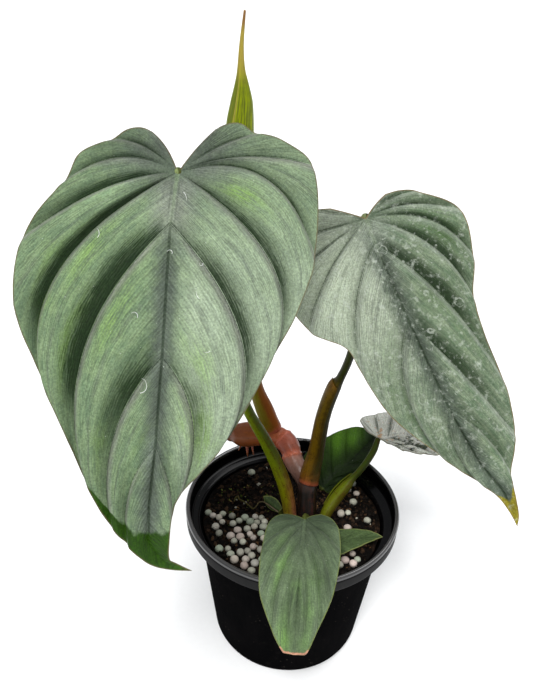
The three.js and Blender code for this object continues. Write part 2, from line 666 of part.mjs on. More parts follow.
// Middles of the prills: random places in each field, kept apart and off the wall and the stems.
function prillPlaces(stems) {
  const random = randomFrom(PRILL_SEED);
  const inside = soilRadius(SOIL_LEVEL) - PRILL_RADIUS - 0.4;
  const places = [];
  for (const { middle, half, count } of PRILL_FIELDS) {
    let placed = 0;
    for (let tries = 0; tries < 60 * count && placed < count; tries += 1) {
      const x = middle[0] + half[0] * (2 * random() - 1);
      const y = middle[1] + half[1] * (2 * random() - 1);
      const size = PRILL_RADIUS * (0.85 + 0.3 * random());
      const apart = places.every((p) => Math.hypot(p.x - x, p.y - y) > 0.92 * (p.size + size));
      const free = stems.every((s) => Math.hypot(s.at[0] - x, s.at[1] - y) > s.radius + size + 1);
      if (Math.hypot(x, y) < inside && apart && free) {
        places.push({ x, y, size });
        placed += 1;
      }
    }
  }
  return places;
}

// Radius of the soil at a height, clear of the pot's wall.
function soilRadius(z) {
  const lipFoot = POT_HEIGHT - POT_LIP_HEIGHT;
  const slope = (POT_BODY_TOP_RADIUS - POT_BASE_RADIUS) / (lipFoot - POT_CORNER - 0.8);
  return POT_BASE_RADIUS - POT_WALL - 1.6 * GAP + slope * (z - POT_CORNER - 0.4);
}

function soilGeometry(stems) {
  const rings = [];
  const ring = (radius, height) =>
    Array.from({ length: SOIL_SIDES }, (_, s) => {
      const angle = (2 * Math.PI * s) / SOIL_SIDES;
      const x = radius * Math.cos(angle);
      const y = radius * Math.sin(angle);
      return new THREE.Vector3(x, y, height ?? soilHeight(x, y));
    });
  rings.push(ring(soilRadius(POT_CORNER) - 4, POT_FLOOR + GAP));
  rings.push(ring(soilRadius(POT_CORNER + 1), POT_CORNER + 1));
  const top = soilRadius(SOIL_LEVEL - SOIL_RELIEF);
  for (let r = SOIL_RINGS; r >= 1; r -= 1) rings.push(ring((top * r) / SOIL_RINGS));
  let soil = toSolid(loft(rings));
  for (const { x, y, size } of prillPlaces(stems)) {
    const prill = new THREE.IcosahedronGeometry(size, 0);
    prill.translate(x, y, soilHeight(x, y) + 0.3 * size);
    soil = soil.add(toSolid(prill));
  }
  for (const { at, radius } of stems) {
    const hole = new THREE.CylinderGeometry(radius + HOLE_CLEAR, radius + HOLE_CLEAR, 3 * STEM_DEPTH, 12);
    hole.rotateX(Math.PI / 2);
    hole.translate(at[0], at[1], at[2] - GAP + 1.5 * STEM_DEPTH);
    soil = soil.subtract(toSolid(hole));
  }
  return toGeometry(soil);
}

// The creeping stem with its aerial roots

function stemGeometry() {
  let solid = toSolid(stem(rooted(STEM), 10, 30));
  for (const { from, to, radius } of AERIAL_ROOTS) {
    solid = solid.add(toSolid(stem([{ at: from, radius }, { at: to, radius: radius * 0.5 }], 6, 2)));
  }
  return toGeometry(solid);
}

// A stalk whose foot clasps the creeping stem: what the stem and its gap fill is cut away.
function claspingStalk(stations, sides, steps) {
  const wider = STEM.map(({ at, radius }) => ({ at, radius: radius + GAP }));
  const room = toSolid(stem(rooted(wider), 12, 30));
  const bodies = toSolid(stem(stations, sides, steps)).subtract(room).decompose();
  bodies.sort((a, b) => b.volume() - a.volume());
  return toGeometry(bodies[0]);
}

// The rolled leaf: the section is a spiral that steps by one lap where the outer margin ends.
function rolledLeafGeometry() {
  const sides = 13;
  const rings = sampled(NEW_LEAF, 20).map(({ point, radius }) => {
    const lap = Math.min(LAP, radius * 0.3);
    return Array.from({ length: sides }, (_, s) => {
      const angle = LAP_ANGLE + (2 * Math.PI * s) / (sides - 1);
      const reach = radius - (lap * s) / (sides - 1);
      const section = new THREE.Vector3(reach * Math.cos(angle), 0.85 * reach * Math.sin(angle), 0);
      return point.clone().add(section);
    });
  });
  return loft(rings);
}

// The object as a scene graph

function piece(name, geometry, color, roughness) {
  const mesh = new THREE.Mesh(geometry, new THREE.MeshStandardMaterial({ color, roughness, metalness: 0 }));
  mesh.name = name;
  return mesh;
}

const leftStalk = stalkTo(LEFT_LEAF, rooted(LEFT_STALK), TIP_RADIUS.left);
const rightStalk = stalkTo(RIGHT_LEAF, RIGHT_STALK, TIP_RADIUS.right);
const frontStalk = stalkTo(FRONT_LEAF, rooted(FRONT_STALK), TIP_RADIUS.front);
const lowStalk = stalkTo(LOW_LEAF, rooted(LOW_STALK), TIP_RADIUS.low);
const sideStalk = stalkTo(SIDE_LEAF, rooted(SIDE_STALK), TIP_RADIUS.side);
const rearStalk = stalkTo(REAR_LEAF, rooted(REAR_STALK), TIP_RADIUS.rear);
const budStalk = stalkTo(BUD_LEAF, rooted(BUD_STALK), TIP_RADIUS.bud);
const buried = [STEM, leftStalk, frontStalk, lowStalk, sideStalk, rearStalk, budStalk].map((s) => s[0]);

const potGroup = new THREE.Group();
potGroup.add(
  piece("nursery_pot", potGeometry(), 0x1b191b, 0.45),
  piece("potting_soil", soilGeometry(buried), 0x1e1613, 0.95),
);

const plant = new THREE.Group();
plant.add(
  piece("creeping_stem", stemGeometry(), 0x7a4438, 0.5),
  piece("stalk_left", stem(leftStalk, 8, 22), 0x5f7d1c, 0.45),
  piece("stalk_right", claspingStalk(rightStalk, 10, 18), 0x5a4a16, 0.45),
  piece("stalk_new", claspingStalk(NEW_STALK, 8, 10), 0xa86a30, 0.45),
  piece("stalk_front", stem(frontStalk, 8, 8), 0x6c8a3a, 0.5),
  piece("stalk_low", stem(lowStalk, 8, 6), 0x6c8a3a, 0.5),
  piece("stalk_side", stem(sideStalk, 8, 16), 0x6f7d1e, 0.45),
  piece("stalk_rear", stem(rearStalk, 8, 5), 0x4f6d20, 0.5),
  piece("stalk_bud", stem(budStalk, 6, 4), 0x5f7a30, 0.5),
  piece("leaf_left", bladeGeometry(LEFT_LEAF, LARGE), 0x6e9366, 0.5),
  piece("leaf_right", bladeGeometry(RIGHT_LEAF, LARGE), 0x809a82, 0.5),
  piece("leaf_new", rolledLeafGeometry(), 0x8c961e, 0.45),
  piece("leaf_front", bladeGeometry(FRONT_LEAF, SMALL), 0x61805b, 0.5),
  piece("leaf_low", bladeGeometry(LOW_LEAF, SMALL), 0x5c7550, 0.5),
  piece("leaf_side", bladeGeometry(SIDE_LEAF, SMALL), 0x97a196, 0.55),
  piece("leaf_rear", bladeGeometry(REAR_LEAF, SMALL), 0x33561a, 0.4),
  piece("leaf_bud", bladeGeometry(BUD_LEAF, SMALL), 0x567034, 0.5),
);

const pottedPlant = new THREE.Group();
pottedPlant.add(potGroup, plant);

export default pottedPlant;
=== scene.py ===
"""Looks of a potted philodendron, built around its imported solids.

Sizes here are in millimetres and become metres when a mesh is made. +Z is up, the middle of the pot's
base is the origin, and the photograph is taken from the -Y side.
"""

import logging
import math
from dataclasses import dataclass, field
from enum import Enum
from typing import Callable, Sequence, Union

import bmesh
import bpy
import numpy as np
from mathutils import Matrix, Vector


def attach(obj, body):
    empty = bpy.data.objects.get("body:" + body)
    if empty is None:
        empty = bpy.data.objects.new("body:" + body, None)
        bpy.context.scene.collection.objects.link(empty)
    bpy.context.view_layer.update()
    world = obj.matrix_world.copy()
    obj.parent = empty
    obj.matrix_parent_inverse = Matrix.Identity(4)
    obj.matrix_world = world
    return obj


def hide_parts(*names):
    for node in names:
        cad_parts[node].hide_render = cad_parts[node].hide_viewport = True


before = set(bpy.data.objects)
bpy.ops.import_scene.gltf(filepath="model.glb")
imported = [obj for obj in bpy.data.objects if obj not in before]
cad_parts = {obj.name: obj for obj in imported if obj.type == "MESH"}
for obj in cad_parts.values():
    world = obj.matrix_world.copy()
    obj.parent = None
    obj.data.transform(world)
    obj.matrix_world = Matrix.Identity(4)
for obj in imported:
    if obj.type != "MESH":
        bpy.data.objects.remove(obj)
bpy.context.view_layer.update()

log = logging.getLogger("philodendron")

Array = np.ndarray
Colour = tuple[float, float, float, float]
Pair = tuple[float, float]
Triple = tuple[float, float, float]
Four = tuple[float, float, float, float]
Stops = tuple[tuple[float, Colour], ...]

MM = 0.001
TURN = 2 * math.pi
LIT = 1.35


def rgb(red: float, green: float, blue: float) -> Colour:
    """Linear colour of a surface that shows as three display values from 0 to 255.

    The sRGB curve gives what is seen, and LIT is how much brighter the studio light makes a surface.
    """
    shown = np.array([red, green, blue]) / 255
    linear = np.where(shown <= 0.04045, shown / 12.92, ((shown + 0.055) / 1.055) ** 2.4)
    return (*(float(c) for c in linear / LIT), 1.0)


def stops(*rows: Four) -> Stops:
    """Places from 0 to 1 with colours, from rows of a place and three display values."""
    return tuple((place, rgb(*shown)) for place, *shown in rows)


# Numbers along lines


def smooth_line(knots: Array, values: Array, x: Array, keep_level: bool = False) -> Array:
    """Cubic line through values at knots.

    The slope at a knot is that of the chord between its two neighbours. With keep_level it is zero
    after a level stretch, so that the stretch stays level.

    Args:
        knots: increasing places, shape (n,).
        values: what the line passes through, shape (n, k).
        x: places to read, any shape.
        keep_level: whether level stretches stay level.

    Returns:
        The line at x, shape (*x.shape, k).
    """
    last = len(knots) - 1
    before = np.maximum(np.arange(last + 1) - 1, 0)
    after = np.minimum(np.arange(last + 1) + 1, last)
    slope = (values[after] - values[before]) / (knots[after] - knots[before])[:, None]
    if keep_level:
        level = values == values[before]
        level[0] = False
        slope = np.where(level, 0.0, slope)
    i = np.clip(np.searchsorted(knots[1:], x, side="left"), 0, last - 1)
    width = (knots[i + 1] - knots[i])[..., None]
    t = ((x - knots[i])[..., None]) / width
    rise = values[i + 1] - values[i]
    bend0 = slope[i] * width - rise
    bend1 = rise - slope[i + 1] * width
    return values[i] + rise * t + t * (1 - t) * (bend0 * (1 - t) + bend1 * t)


def centripetal(points: Array, t: Array) -> Array:
    """Centripetal Catmull-Rom curve through points.

    Each span is a cubic whose end slopes come from the three chords round it, each chord timed by the
    square root of its length. Beyond each end the first chord is repeated.

    Args:
        points: points on the curve, shape (n, 3).
        t: places from 0 at the first point to 1 at the last.

    Returns:
        Points on the curve, shape (len(t), 3).
    """
    spans = len(points) - 1
    ends = [2 * points[0] - points[1], *points, 2 * points[-1] - points[-2]]
    held = np.array(ends)
    place = np.clip(t, 0, 1) * spans
    i = np.minimum(place.astype(int), spans - 1)
    w = (place - i)[:, None]
    p0, p1, p2, p3 = (held[i + k] for k in range(4))
    d0, d1, d2 = (np.linalg.norm(b - a, axis=1)[:, None] ** 0.5 for a, b in ((p0, p1), (p1, p2), (p2, p3)))
    s1 = ((p1 - p0) / d0 - (p2 - p0) / (d0 + d1) + (p2 - p1) / d1) * d1
    s2 = ((p2 - p1) / d1 - (p3 - p1) / (d1 + d2) + (p3 - p2) / d2) * d1
    return p1 + s1 * w + (3 * (p2 - p1) - 2 * s1 - s2) * w**2 + (2 * (p1 - p2) + s1 + s2) * w**3


def unit(vectors: Array) -> Array:
    """Vectors along the last axis, each divided by its length."""
    return vectors / np.maximum(np.linalg.norm(vectors, axis=-1, keepdims=True), 1e-12)


def ease(x: Array, low: float, high: float) -> Array:
    """Zero below low, one above high, and three t squared less two t cubed between them."""
    t = np.clip((x - low) / (high - low), 0, 1)
    return t * t * (3 - 2 * t)


def bell(x: Array, middle: float, width: float) -> Array:
    """A bump of height one: e to the minus square of the distance from its middle over its width."""
    return np.exp(-(((x - middle) / width) ** 2))


def full_turn(count: int) -> Array:
    """Evenly spaced angles round one turn, from 0 to one step short of the whole."""
    return np.linspace(0, TURN, count, endpoint=False)


def about_axis(radius: Array, turn: Array, level: Array) -> Array:
    """Points about the Z axis: the radius times the cosine and sine of the turn, and a level."""
    x = radius * np.cos(turn)
    return np.stack([x, radius * np.sin(turn), level + 0 * x], axis=-1)


def ripple(points: Array, size: float, seed: int, octaves: int = 3) -> Array:
    """Smooth random height from -1 to 1: sums of plane waves in random directions.

    Args:
        points: places, shape (..., 3), in millimetres.
        size: wave length of the widest waves.
        seed: picks the directions and phases.
        octaves: each further one halves the wave length and the height.

    Returns:
        The height at each place.
    """
    random = np.random.default_rng(seed)
    total = np.zeros(points.shape[:-1])
    for octave in range(octaves):
        ways = unit(random.normal(size=(8, 3))) * random.uniform(0.7, 1.4, (8, 1))
        phases = random.uniform(0, TURN, 8)
        angle = points @ ways.T * (TURN * 2**octave / size) + phases
        total += np.sin(angle).sum(axis=-1) * 0.5**octave / 4
    return np.clip(total / 1.6, -1, 1)


def randoms_from(seed: int) -> Callable[[], float]:
    """The solids' own random numbers: each state is a factor times the last, modulo a prime."""
    factor = 16807
    prime = 2147483647
    state = seed

    def draw() -> float:
        """The next number between 0 and 1."""
        nonlocal state
        state = (state * factor) % prime
        return state / prime

    return draw


# Meshes from grids of points


class Skin:
    """Gathers grids of points into one closed mesh, with named triples of numbers at its corners."""

    WELD = 1 / 2000  # points within about this many millimetres are one

    def __init__(self) -> None:
        """Starts empty."""
        self._points: list[Array] = []
        self._quads: list[Array] = []
        self._values: dict[str, list[Array]] = {}
        self._count = 0

    def points(self, places: Array, **values: Array) -> Array:
        """Adds points.

        Args:
            places: shape (..., 3), in millimetres.
            values: for each name, three numbers a point, shape (..., 3).

        Returns:
            The points' numbers, in the shape of the grid.
        """
        shape = places.shape[:-1]
        count = int(np.prod(shape))
        self._points.append(places.reshape(-1, 3))
        for name, value in values.items():
            full = np.broadcast_to(value, (*shape, 3)).reshape(-1, 3)
            self._values.setdefault(name, []).append(full)
        ids = np.arange(self._count, self._count + count).reshape(shape)
        self._count += count
        return ids

    def cover(self, ids: Array, flip: bool = False, round_columns: bool = False) -> None:
        """Adds the faces of a grid of numbers, whose last column may join its first."""
        if round_columns:
            ids = np.concatenate([ids, ids[..., :1]], axis=-1)
        quads = np.stack([ids[:-1, :-1], ids[:-1, 1:], ids[1:, 1:], ids[1:, :-1]], axis=-1).reshape(-1, 4)
        self._quads.append(quads[:, ::-1] if flip else quads)

    def copies(self, places: Array, faces: Array, **values: Array) -> None:
        """Adds many copies of a small shape: places is (copies, points, 3), faces (m, 3)."""
        ids = self.points(places, **values)
        triangles = ids[:, faces].reshape(-1, 3)
        self._quads.append(np.concatenate([triangles, triangles[:, :1]], axis=1))

    def mesh(self, name: str, sharp: float = 0.0) -> bpy.types.Mesh:
        """Welds equal points, drops flat faces, turns the faces outwards and makes the mesh.

        Args:
            name: name of the mesh.
            sharp: edges that turn more than this many degrees stay sharp; 0 keeps all smooth.

        Returns:
            The mesh, in metres.
        """
        places = np.concatenate(self._points)
        quads = np.concatenate(self._quads)
        keys = np.round(places / self.WELD).astype(np.int64)
        _, first, same = np.unique(keys, axis=0, return_index=True, return_inverse=True)
        same = same.reshape(-1)
        welded = same[quads]
        repeated = welded == np.roll(welded, -1, axis=1)
        full = ~repeated.any(axis=1)
        full &= (welded[:, 0] != welded[:, 2]) & (welded[:, 1] != welded[:, 3])
        folded = repeated.sum(axis=1) == 1
        corners = [quads[full]]
        if folded.any():
            keep = ~repeated[folded]
            corners.append(quads[folded][keep].reshape(-1, 3))
        kept = places[first]
        volume = 0.0
        for part in corners:
            a, *others = (kept[same[column]] for column in part.T)
            volume += sum(np.einsum("ij,ij->", a, np.cross(b, c)) for b, c in zip(others, others[1:]))
        if volume < 0:
            corners = [part[:, ::-1] for part in corners]
        mesh = bpy.data.meshes.new(name)
        faces = [face for part in corners for face in same[part].tolist()]
        mesh.from_pydata((kept * MM).tolist(), [], faces)
        order = np.concatenate([part.reshape(-1) for part in corners])
        for key, value in self._values.items():
            layer = mesh.attributes.new(key, "FLOAT_VECTOR", "CORNER")
            layer.data.foreach_set("vector", np.concatenate(value)[order].astype(np.float32).reshape(-1))
        mesh.polygons.foreach_set("use_smooth", np.ones(len(mesh.polygons), bool))
        if sharp:
            mesh.set_sharp_from_angle(angle=math.radians(sharp))
        mesh.update()
        return mesh


def linked(name: str, data: bpy.types.ID) -> bpy.types.Object:
    """A new object of some data, in the scene."""
    thing = bpy.data.objects.new(name, data)
    bpy.context.scene.collection.objects.link(thing)
    return thing


def settle(name: str, mesh: bpy.types.Mesh, look: bpy.types.Material,
           nodes: Sequence[str] = ()) -> bpy.types.Object:
    """Makes a finished piece of a mesh.

    Args:
        name: name of the piece.
        mesh: its mesh.
        look: its material.
        nodes: the solids that it stands for.

    Returns:
        The piece, riding on the root body.
    """
    piece = linked(name, mesh)
    mesh.name = name
    mesh.materials.clear()
    mesh.materials.append(look)
    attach(piece, "root")
    if nodes:
        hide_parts(*nodes)
    log.info("%s: %d faces", name, len(mesh.polygons))
    return piece


# Material arithmetic

Number = Union[float, "Socket"]


def operator(operation: str, reflected: bool = False) -> Callable[["Socket", Number], "Socket"]:
    """A method that puts a Math node on a socket and a number or link, swapped for a reflected form."""

    def method(self: "Socket", other: Number) -> "Socket":
        """The node's result."""
        values = (other, self) if reflected else (self, other)
        return self.graph.maths(operation, *values)

    return method


class Socket:
    """One output of a material's nodes, with the arithmetic that the finishes use."""

    def __init__(self, graph: "Graph", socket: bpy.types.NodeSocket) -> None:
        """Keeps the socket and the graph that it belongs to."""
        self.graph = graph
        self.socket = socket

    __add__ = operator("ADD")
    __radd__ = operator("ADD", reflected=True)
    __sub__ = operator("SUBTRACT")
    __rsub__ = operator("SUBTRACT", reflected=True)
    __mul__ = operator("MULTIPLY")
    __rmul__ = operator("MULTIPLY", reflected=True)
    __truediv__ = operator("DIVIDE")
    __pow__ = operator("POWER")


class Graph:
    """A material's node tree and the few kinds of node that the finishes are made of."""

    def __init__(self, name: str) -> None:
        """Starts an empty material."""
        self.material = bpy.data.materials.new(name)
        self.material.use_nodes = True
        self.tree = self.material.node_tree
        self.tree.nodes.clear()
        self._kept: dict[str, Socket] = {}

    def node(self, kind: str, settings: dict | None = None, inputs: dict | None = None) -> bpy.types.Node:
        """Adds a node.

        Args:
            kind: its type.
            settings: its properties; stops gives a colour ramp's places and colours.
            inputs: for each socket, by name or number, a number, a colour or a link.

        Returns:
            The node.
        """
        node = self.tree.nodes.new(kind)
        for key, value in (settings or {}).items():
            if key == "stops":
                elements = node.color_ramp.elements
                while len(elements) < len(value):
                    elements.new(0.5)
                for element, (place, colour) in zip(elements, value):
                    element.position = place
                    element.color = colour
            else:
                setattr(node, key, value)
        for key, value in (inputs or {}).items():
            if isinstance(value, Socket):
                self.tree.links.new(value.socket, node.inputs[key])
            else:
                node.inputs[key].default_value = value
        return node

    def link(self, node: bpy.types.Node, output: int | str = 0) -> Socket:
        """One output of a node."""
        return Socket(self, node.outputs[output])

    def maths(self, operation: str, *values: Number) -> Socket:
        """A Math node on up to three numbers or links."""
        node = self.node("ShaderNodeMath", {"operation": operation}, dict(enumerate(values)))
        return self.link(node)

    def least(self, a: Number, b: Number) -> Socket:
        """The smaller of two numbers."""
        return self.maths("MINIMUM", a, b)

    def most(self, a: Number, b: Number) -> Socket:
        """The larger of two numbers."""
        return self.maths("MAXIMUM", a, b)

    def hatch(self, value: Socket) -> Socket:
        """Even lines: a sine from 0 to 1 that repeats with each whole step of a link."""
        return self.maths("SINE", value * TURN) * 0.5 + 0.5

    def ease(self, value: Socket, low: float, high: float, start: float = 0.0, end: float = 1.0) -> Socket:
        """A smooth step of a link from start at low to end at high."""
        inputs = {"Value": value, "From Min": low, "From Max": high, "To Min": start, "To Max": end}
        return self.link(self.node("ShaderNodeMapRange", {"interpolation_type": "SMOOTHSTEP"}, inputs))

    def fade(self, value: Socket, low: float, high: float) -> Socket:
        """A smooth step of a link from one at low to zero at high."""
        return self.ease(value, low, high, 1.0, 0.0)

    def triple(self, name: str) -> tuple[Socket, Socket, Socket]:
        """The three numbers that a mesh holds under a name."""
        node = self.node("ShaderNodeAttribute", {"attribute_name": name})
        parts = self.node("ShaderNodeSeparateXYZ", inputs={0: self.link(node, "Vector")})
        return self.link(parts, 0), self.link(parts, 1), self.link(parts, 2)

    def join(self, x: Number, y: Number, z: Number) -> Socket:
        """A vector of three numbers or links."""
        return self.link(self.node("ShaderNodeCombineXYZ", inputs={0: x, 1: y, 2: z}))

    def place(self) -> Socket:
        """The point on the object, in metres."""
        if "place" not in self._kept:
            self._kept["place"] = self.link(self.node("ShaderNodeTexCoord"), "Object")
        return self._kept["place"]

    def stretched(self, x: float, y: float, z: float) -> Socket:
        """The point on the object with each axis scaled."""
        settings = {"operation": "MULTIPLY"}
        return self.link(self.node("ShaderNodeVectorMath", settings, {0: self.place(), 1: (x, y, z)}))

    def noise(self, size: float, detail: float = 2.0, rough: float = 0.5,
              at: Socket | None = None) -> Socket:
        """Smooth noise from 0 to 1.

        Args:
            size: size of its patches, in millimetres on the object, or in units of at.
            detail: number of finer octaves.
            rough: weight of the finer octaves.
            at: where to read it, in place of the point on the object.

        Returns:
            The noise.
        """
        scale = 1 / size if at else 1000 / size
        inputs = {"Vector": at or self.place(), "Scale": scale, "Detail": detail, "Roughness": rough}
        return self.link(self.node("ShaderNodeTexNoise", None, inputs))

    def cells(self, size: float, at: Socket | None = None, output: str = "Distance") -> Socket:
        """Distance to the nearest of random points about size apart, or those points' colours."""
        scale = 1 / size if at else 1000 / size
        inputs = {"Vector": at or self.place(), "Scale": scale}
        return self.link(self.node("ShaderNodeTexVoronoi", None, inputs), output)

    def mix(self, part: Number, first: Socket | Colour, second: Socket | Colour) -> Socket:
        """A colour between two colours."""
        settings = {"data_type": "RGBA", "clamp_factor": True}
        return self.link(self.node("ShaderNodeMix", settings, {0: part, 6: first, 7: second}), 2)

    def shade(self, colour: Socket | Colour, factor: Socket) -> Socket:
        """A colour times a number."""
        grey = self.join(factor, factor, factor)
        settings = {"data_type": "RGBA", "blend_type": "MULTIPLY"}
        return self.link(self.node("ShaderNodeMix", settings, {0: 1.0, 6: colour, 7: grey}), 2)

    def ramp(self, value: Socket, through: Stops) -> Socket:
        """A colour that changes along a link, through stops of place and colour."""
        return self.link(self.node("ShaderNodeValToRGB", {"stops": through}, {0: value}))

    def close(self, colour: Socket, rough: Number, height: Socket, depth: float,
              **fixed: float | Colour) -> bpy.types.Material:
        """Ends the material in one surface shader.

        Args:
            colour: base colour.
            rough: roughness.
            height: relief from 0 to 1.
            depth: what a height of 1 is, in millimetres.
            fixed: further sockets of the shader, with _ for each space, all constant.

        Returns:
            The material.
        """
        inputs = {"Height": height, "Distance": depth * MM, "Strength": 1.0}
        bump = self.node("ShaderNodeBump", None, inputs)
        sockets = {key.replace("_", " "): value for key, value in fixed.items()}
        sockets |= {"Base Color": colour, "Roughness": rough, "Normal": self.link(bump)}
        shader = self.node("ShaderNodeBsdfPrincipled", None, sockets)
        self.node("ShaderNodeOutputMaterial", None, {0: self.link(shader)})
        return self.material


# Leaf blades


class Half(Enum):
    """The half of a blade on one side of its midrib."""

    LEFT = "left"
    RIGHT = "right"


@dataclass(frozen=True)
class Row:
    """One line across a blade: a main vein, or a line between two.

    Attributes:
        at: its place in the count of main veins.
        rib: its start on the midrib.
        left: its middle point and its end on the left margin; none where the row is a point.
        right: the same on the right; none mirrors the left.
    """

    at: float
    rib: Pair
    left: tuple[Pair, Pair] | None = None
    right: tuple[Pair, Pair] | None = None

    def line(self, half: Half, mirrored: bool) -> tuple[Pair, Pair, Pair]:
        """Its start, middle and end on one half."""
        ends = self.left if half is Half.LEFT or mirrored else self.right
        middle, end = ends or (self.rib, self.rib)
        flip = -1 if mirrored and half is Half.RIGHT else 1
        return self.rib, (middle[0], middle[1] * flip), (end[0], end[1] * flip)


@dataclass(frozen=True)
class Patch:
    """A soft patch of tint on a blade.

    Attributes:
        u, v: its middle.
        along, across: its half lengths along the veins and across them.
        glow, dim, scar: how much yellow-green, painted shade and scar it adds there; a dim below zero adds
            painted light.
    """

    u: float
    v: float
    along: float
    across: float
    glow: float = 0.0
    dim: float = 0.0
    scar: float = 0.0


@dataclass
class Blade:
    """A leaf blade in space, with pleats between its main veins.

    Its rows are those of the solid that it stands for. u runs from the sinus to the tip, v across.

    Attributes:
        name, node, slot: names of the piece, of its solid and of its material slot; the slot is not used.
        sinus, tip: where the stalk joins, and the far end.
        faces: the way that the upper face looks.
        arch, droop, fold, ridge, pleat: the solid's own shape numbers.
        rows: lines across the blade, from the sinus edge to the tip.
        steps: samples between two main veins, and from midrib to margin.
        thick: thickness between the veins.
        rib_depth: height of the midrib under the blade at the sinus.
        ruffle: height of the small waves along the margin.
        seed: picks the small unevenness.
        riser: share of a pleat in which it rises.
        shelf: share after which it falls.
        second: height of the second fold as a share of the pleat's.
        crumple: height of the broad unevenness.
        patches: where the tint changes.
    """

    name: str
    node: str
    slot: str
    sinus: Triple
    tip: Triple
    faces: Triple
    arch: float
    droop: float
    fold: float
    ridge: float
    pleat: float
    rows: tuple[Row, ...]
    steps: tuple[int, int] = (14, 40)
    thick: float = 0.62
    rib_depth: float = 1.2
    ruffle: float = 0.25
    seed: int = 1
    riser: float = 0.13
    shelf: float = 0.48
    second: float = 0.08
    crumple: float = 0.35
    patches: tuple[Patch, ...] = ()

    WIDEST = 24.0  # a pleat grows no higher past this width
    RIB_CLEAR = 6.0  # distance from the midrib over which a pleat rises

    def __post_init__(self) -> None:
        """Works out the blade's own axes: along it, out of its upper face, and across it."""
        self._start = np.array(self.sinus, float)
        along = np.array(self.tip, float) - self._start
        self._length = float(np.linalg.norm(along))
        self._along = along / self._length
        out = np.array(self.faces, float)
        self._out = unit(out - (out @ self._along) * self._along)
        self._across = np.cross(self._out, self._along)
        self._knots = np.array([row.at for row in self.rows], float)
        self._last = float(self._knots[-1])
        self._mirrored = self.rows[0].right is None
        self._tops: list[tuple[Array, Array]] = []

    def above(self, places: Array, lift: float) -> Array:
        """Points a little above the made upper face: over the nearest of its points to each (u, v)."""
        flat, upper = (np.concatenate(part) for part in zip(*self._tops))
        away = np.linalg.norm(places[:, None] - flat[None], axis=-1)
        shift = places - flat[away.argmin(axis=1)]
        beside = shift[:, :1] * self._along + shift[:, 1:] * self._across
        return upper[away.argmin(axis=1)] + beside + self._out * lift

    @property
    def out(self) -> Array:
        """The way that the upper face looks, as a unit vector."""
        return self._out

    def _flat(self, half: Half, at: Array, part: Array) -> Array:
        """Points (u, v): on each line, a quadratic through its start, middle and end."""
        lines = np.array([row.line(half, self._mirrored) for row in self.rows])
        rib = smooth_line(self._knots, lines[:, 0], at, keep_level=True)
        middle = smooth_line(self._knots, lines[:, 1], at)
        end = smooth_line(self._knots, lines[:, 2], at)
        p = part[..., None]
        return rib * (2 * p - 1) * (p - 1) + middle * 4 * p * (1 - p) + end * p * (2 * p - 1)

    def _rib_away(self, u: Array, v: Array) -> Array:
        """Distance from the midrib, or from the sinus for what lies behind it."""
        ribs = np.array([row.rib for row in self.rows])
        keep = np.concatenate([[True], np.diff(ribs[:, 0]) > 0])
        line = np.interp(u, ribs[keep, 0], ribs[keep, 1])
        return np.where(u > 0, np.abs(v - line), np.hypot(u, v))

    def _edge_away(self, uv: Array) -> Array:
        """Distance from each point of a half to its margin.

        The margin is the first row from the sinus outwards and then the ends of all rows. The distance
        to each of its short straight pieces is that to the nearest point between the piece's ends.
        """
        line = np.concatenate([uv[0], uv[1:, -1]]).astype(np.float32)
        start, step = line[:-1], np.diff(line, axis=0)
        away = uv.astype(np.float32)[..., None, :] - start
        share = np.clip((away * step).sum(-1) / np.maximum((step * step).sum(-1), 1e-9), 0, 1)
        return np.linalg.norm(away - share[..., None] * step, axis=-1).min(axis=-1).astype(float)

    def _tints(self, uv: Array, at: Array, width: Array) -> Array:
        """Sum of the patches, each e to the minus (across squared plus along squared).

        The distance across is the difference in the count of veins times the width between them, and
        the distance along is what the whole distance leaves. A patch of the other half is left out.
        """
        total = np.zeros((*at.shape, 3))
        for patch in self.patches:
            away = np.hypot(uv[..., 0] - patch.u, uv[..., 1] - patch.v)
            nearest = np.unravel_index(np.argmin(away), away.shape)
            if away[nearest] < 3:
                across = np.minimum(np.abs(at - at[nearest]) * width, away)
                along = np.sqrt(away**2 - across**2)
                share = np.exp(-((across / patch.across) ** 2) - (along / patch.along) ** 2)
                total += share[..., None] * (patch.glow, patch.dim, patch.scar)
        return np.minimum(total, 1)

    def bloom_and_sheen(self, u: Array, v: Array, edge: Array) -> Array:
        """How much of the silver grey covers the blade, from 0 to 1; that grey is partly painted sheen."""
        return np.ones_like(u)

    def _half(self, half: Half) -> tuple[Array, Array, dict[str, Array], dict[str, Array]]:
        """Upper and lower points of one half, and the numbers that its finish reads.

        The middle height is the solid's: an arch along the blade, less a droop by v squared and a fold
        by the distance from the midrib, plus pleats. Each pleat rises by a smooth step within the riser
        after a vein, falls a little over its shelf and the rest by a smooth step to the next vein, with
        a low second fold between. On that lie a groove at each vein and beside the midrib and waves
        near the margin. The lower face lies a thickness below, more under the veins and less towards
        the margin.
        """
        between, out_steps = self.steps
        s = np.linspace(0, 1, between, endpoint=False)
        crowded = s - 0.12 * np.sin(TURN * s)
        rows = np.concatenate([vein + crowded for vein in range(int(self._last))] + [[self._last]])
        columns = np.linspace(0, 1, out_steps + 1) ** 1.25
        at, part = np.meshgrid(rows, columns, indexing="ij")
        uv = self._flat(half, at, part)
        u, v = uv[..., 0], uv[..., 1]
        vein = np.minimum(np.floor(at), self._last - 1)
        near, far = self._flat(half, vein, part), self._flat(half, vein + 1, part)
        width = np.linalg.norm(far - near, axis=-1)
        way = at - vein
        out = np.linalg.norm(uv - self._flat(half, at, part * 0), axis=-1)
        after, before = way * width, (1 - way) * width
        edge = self._edge_away(uv)
        rib = self._rib_away(u, v)

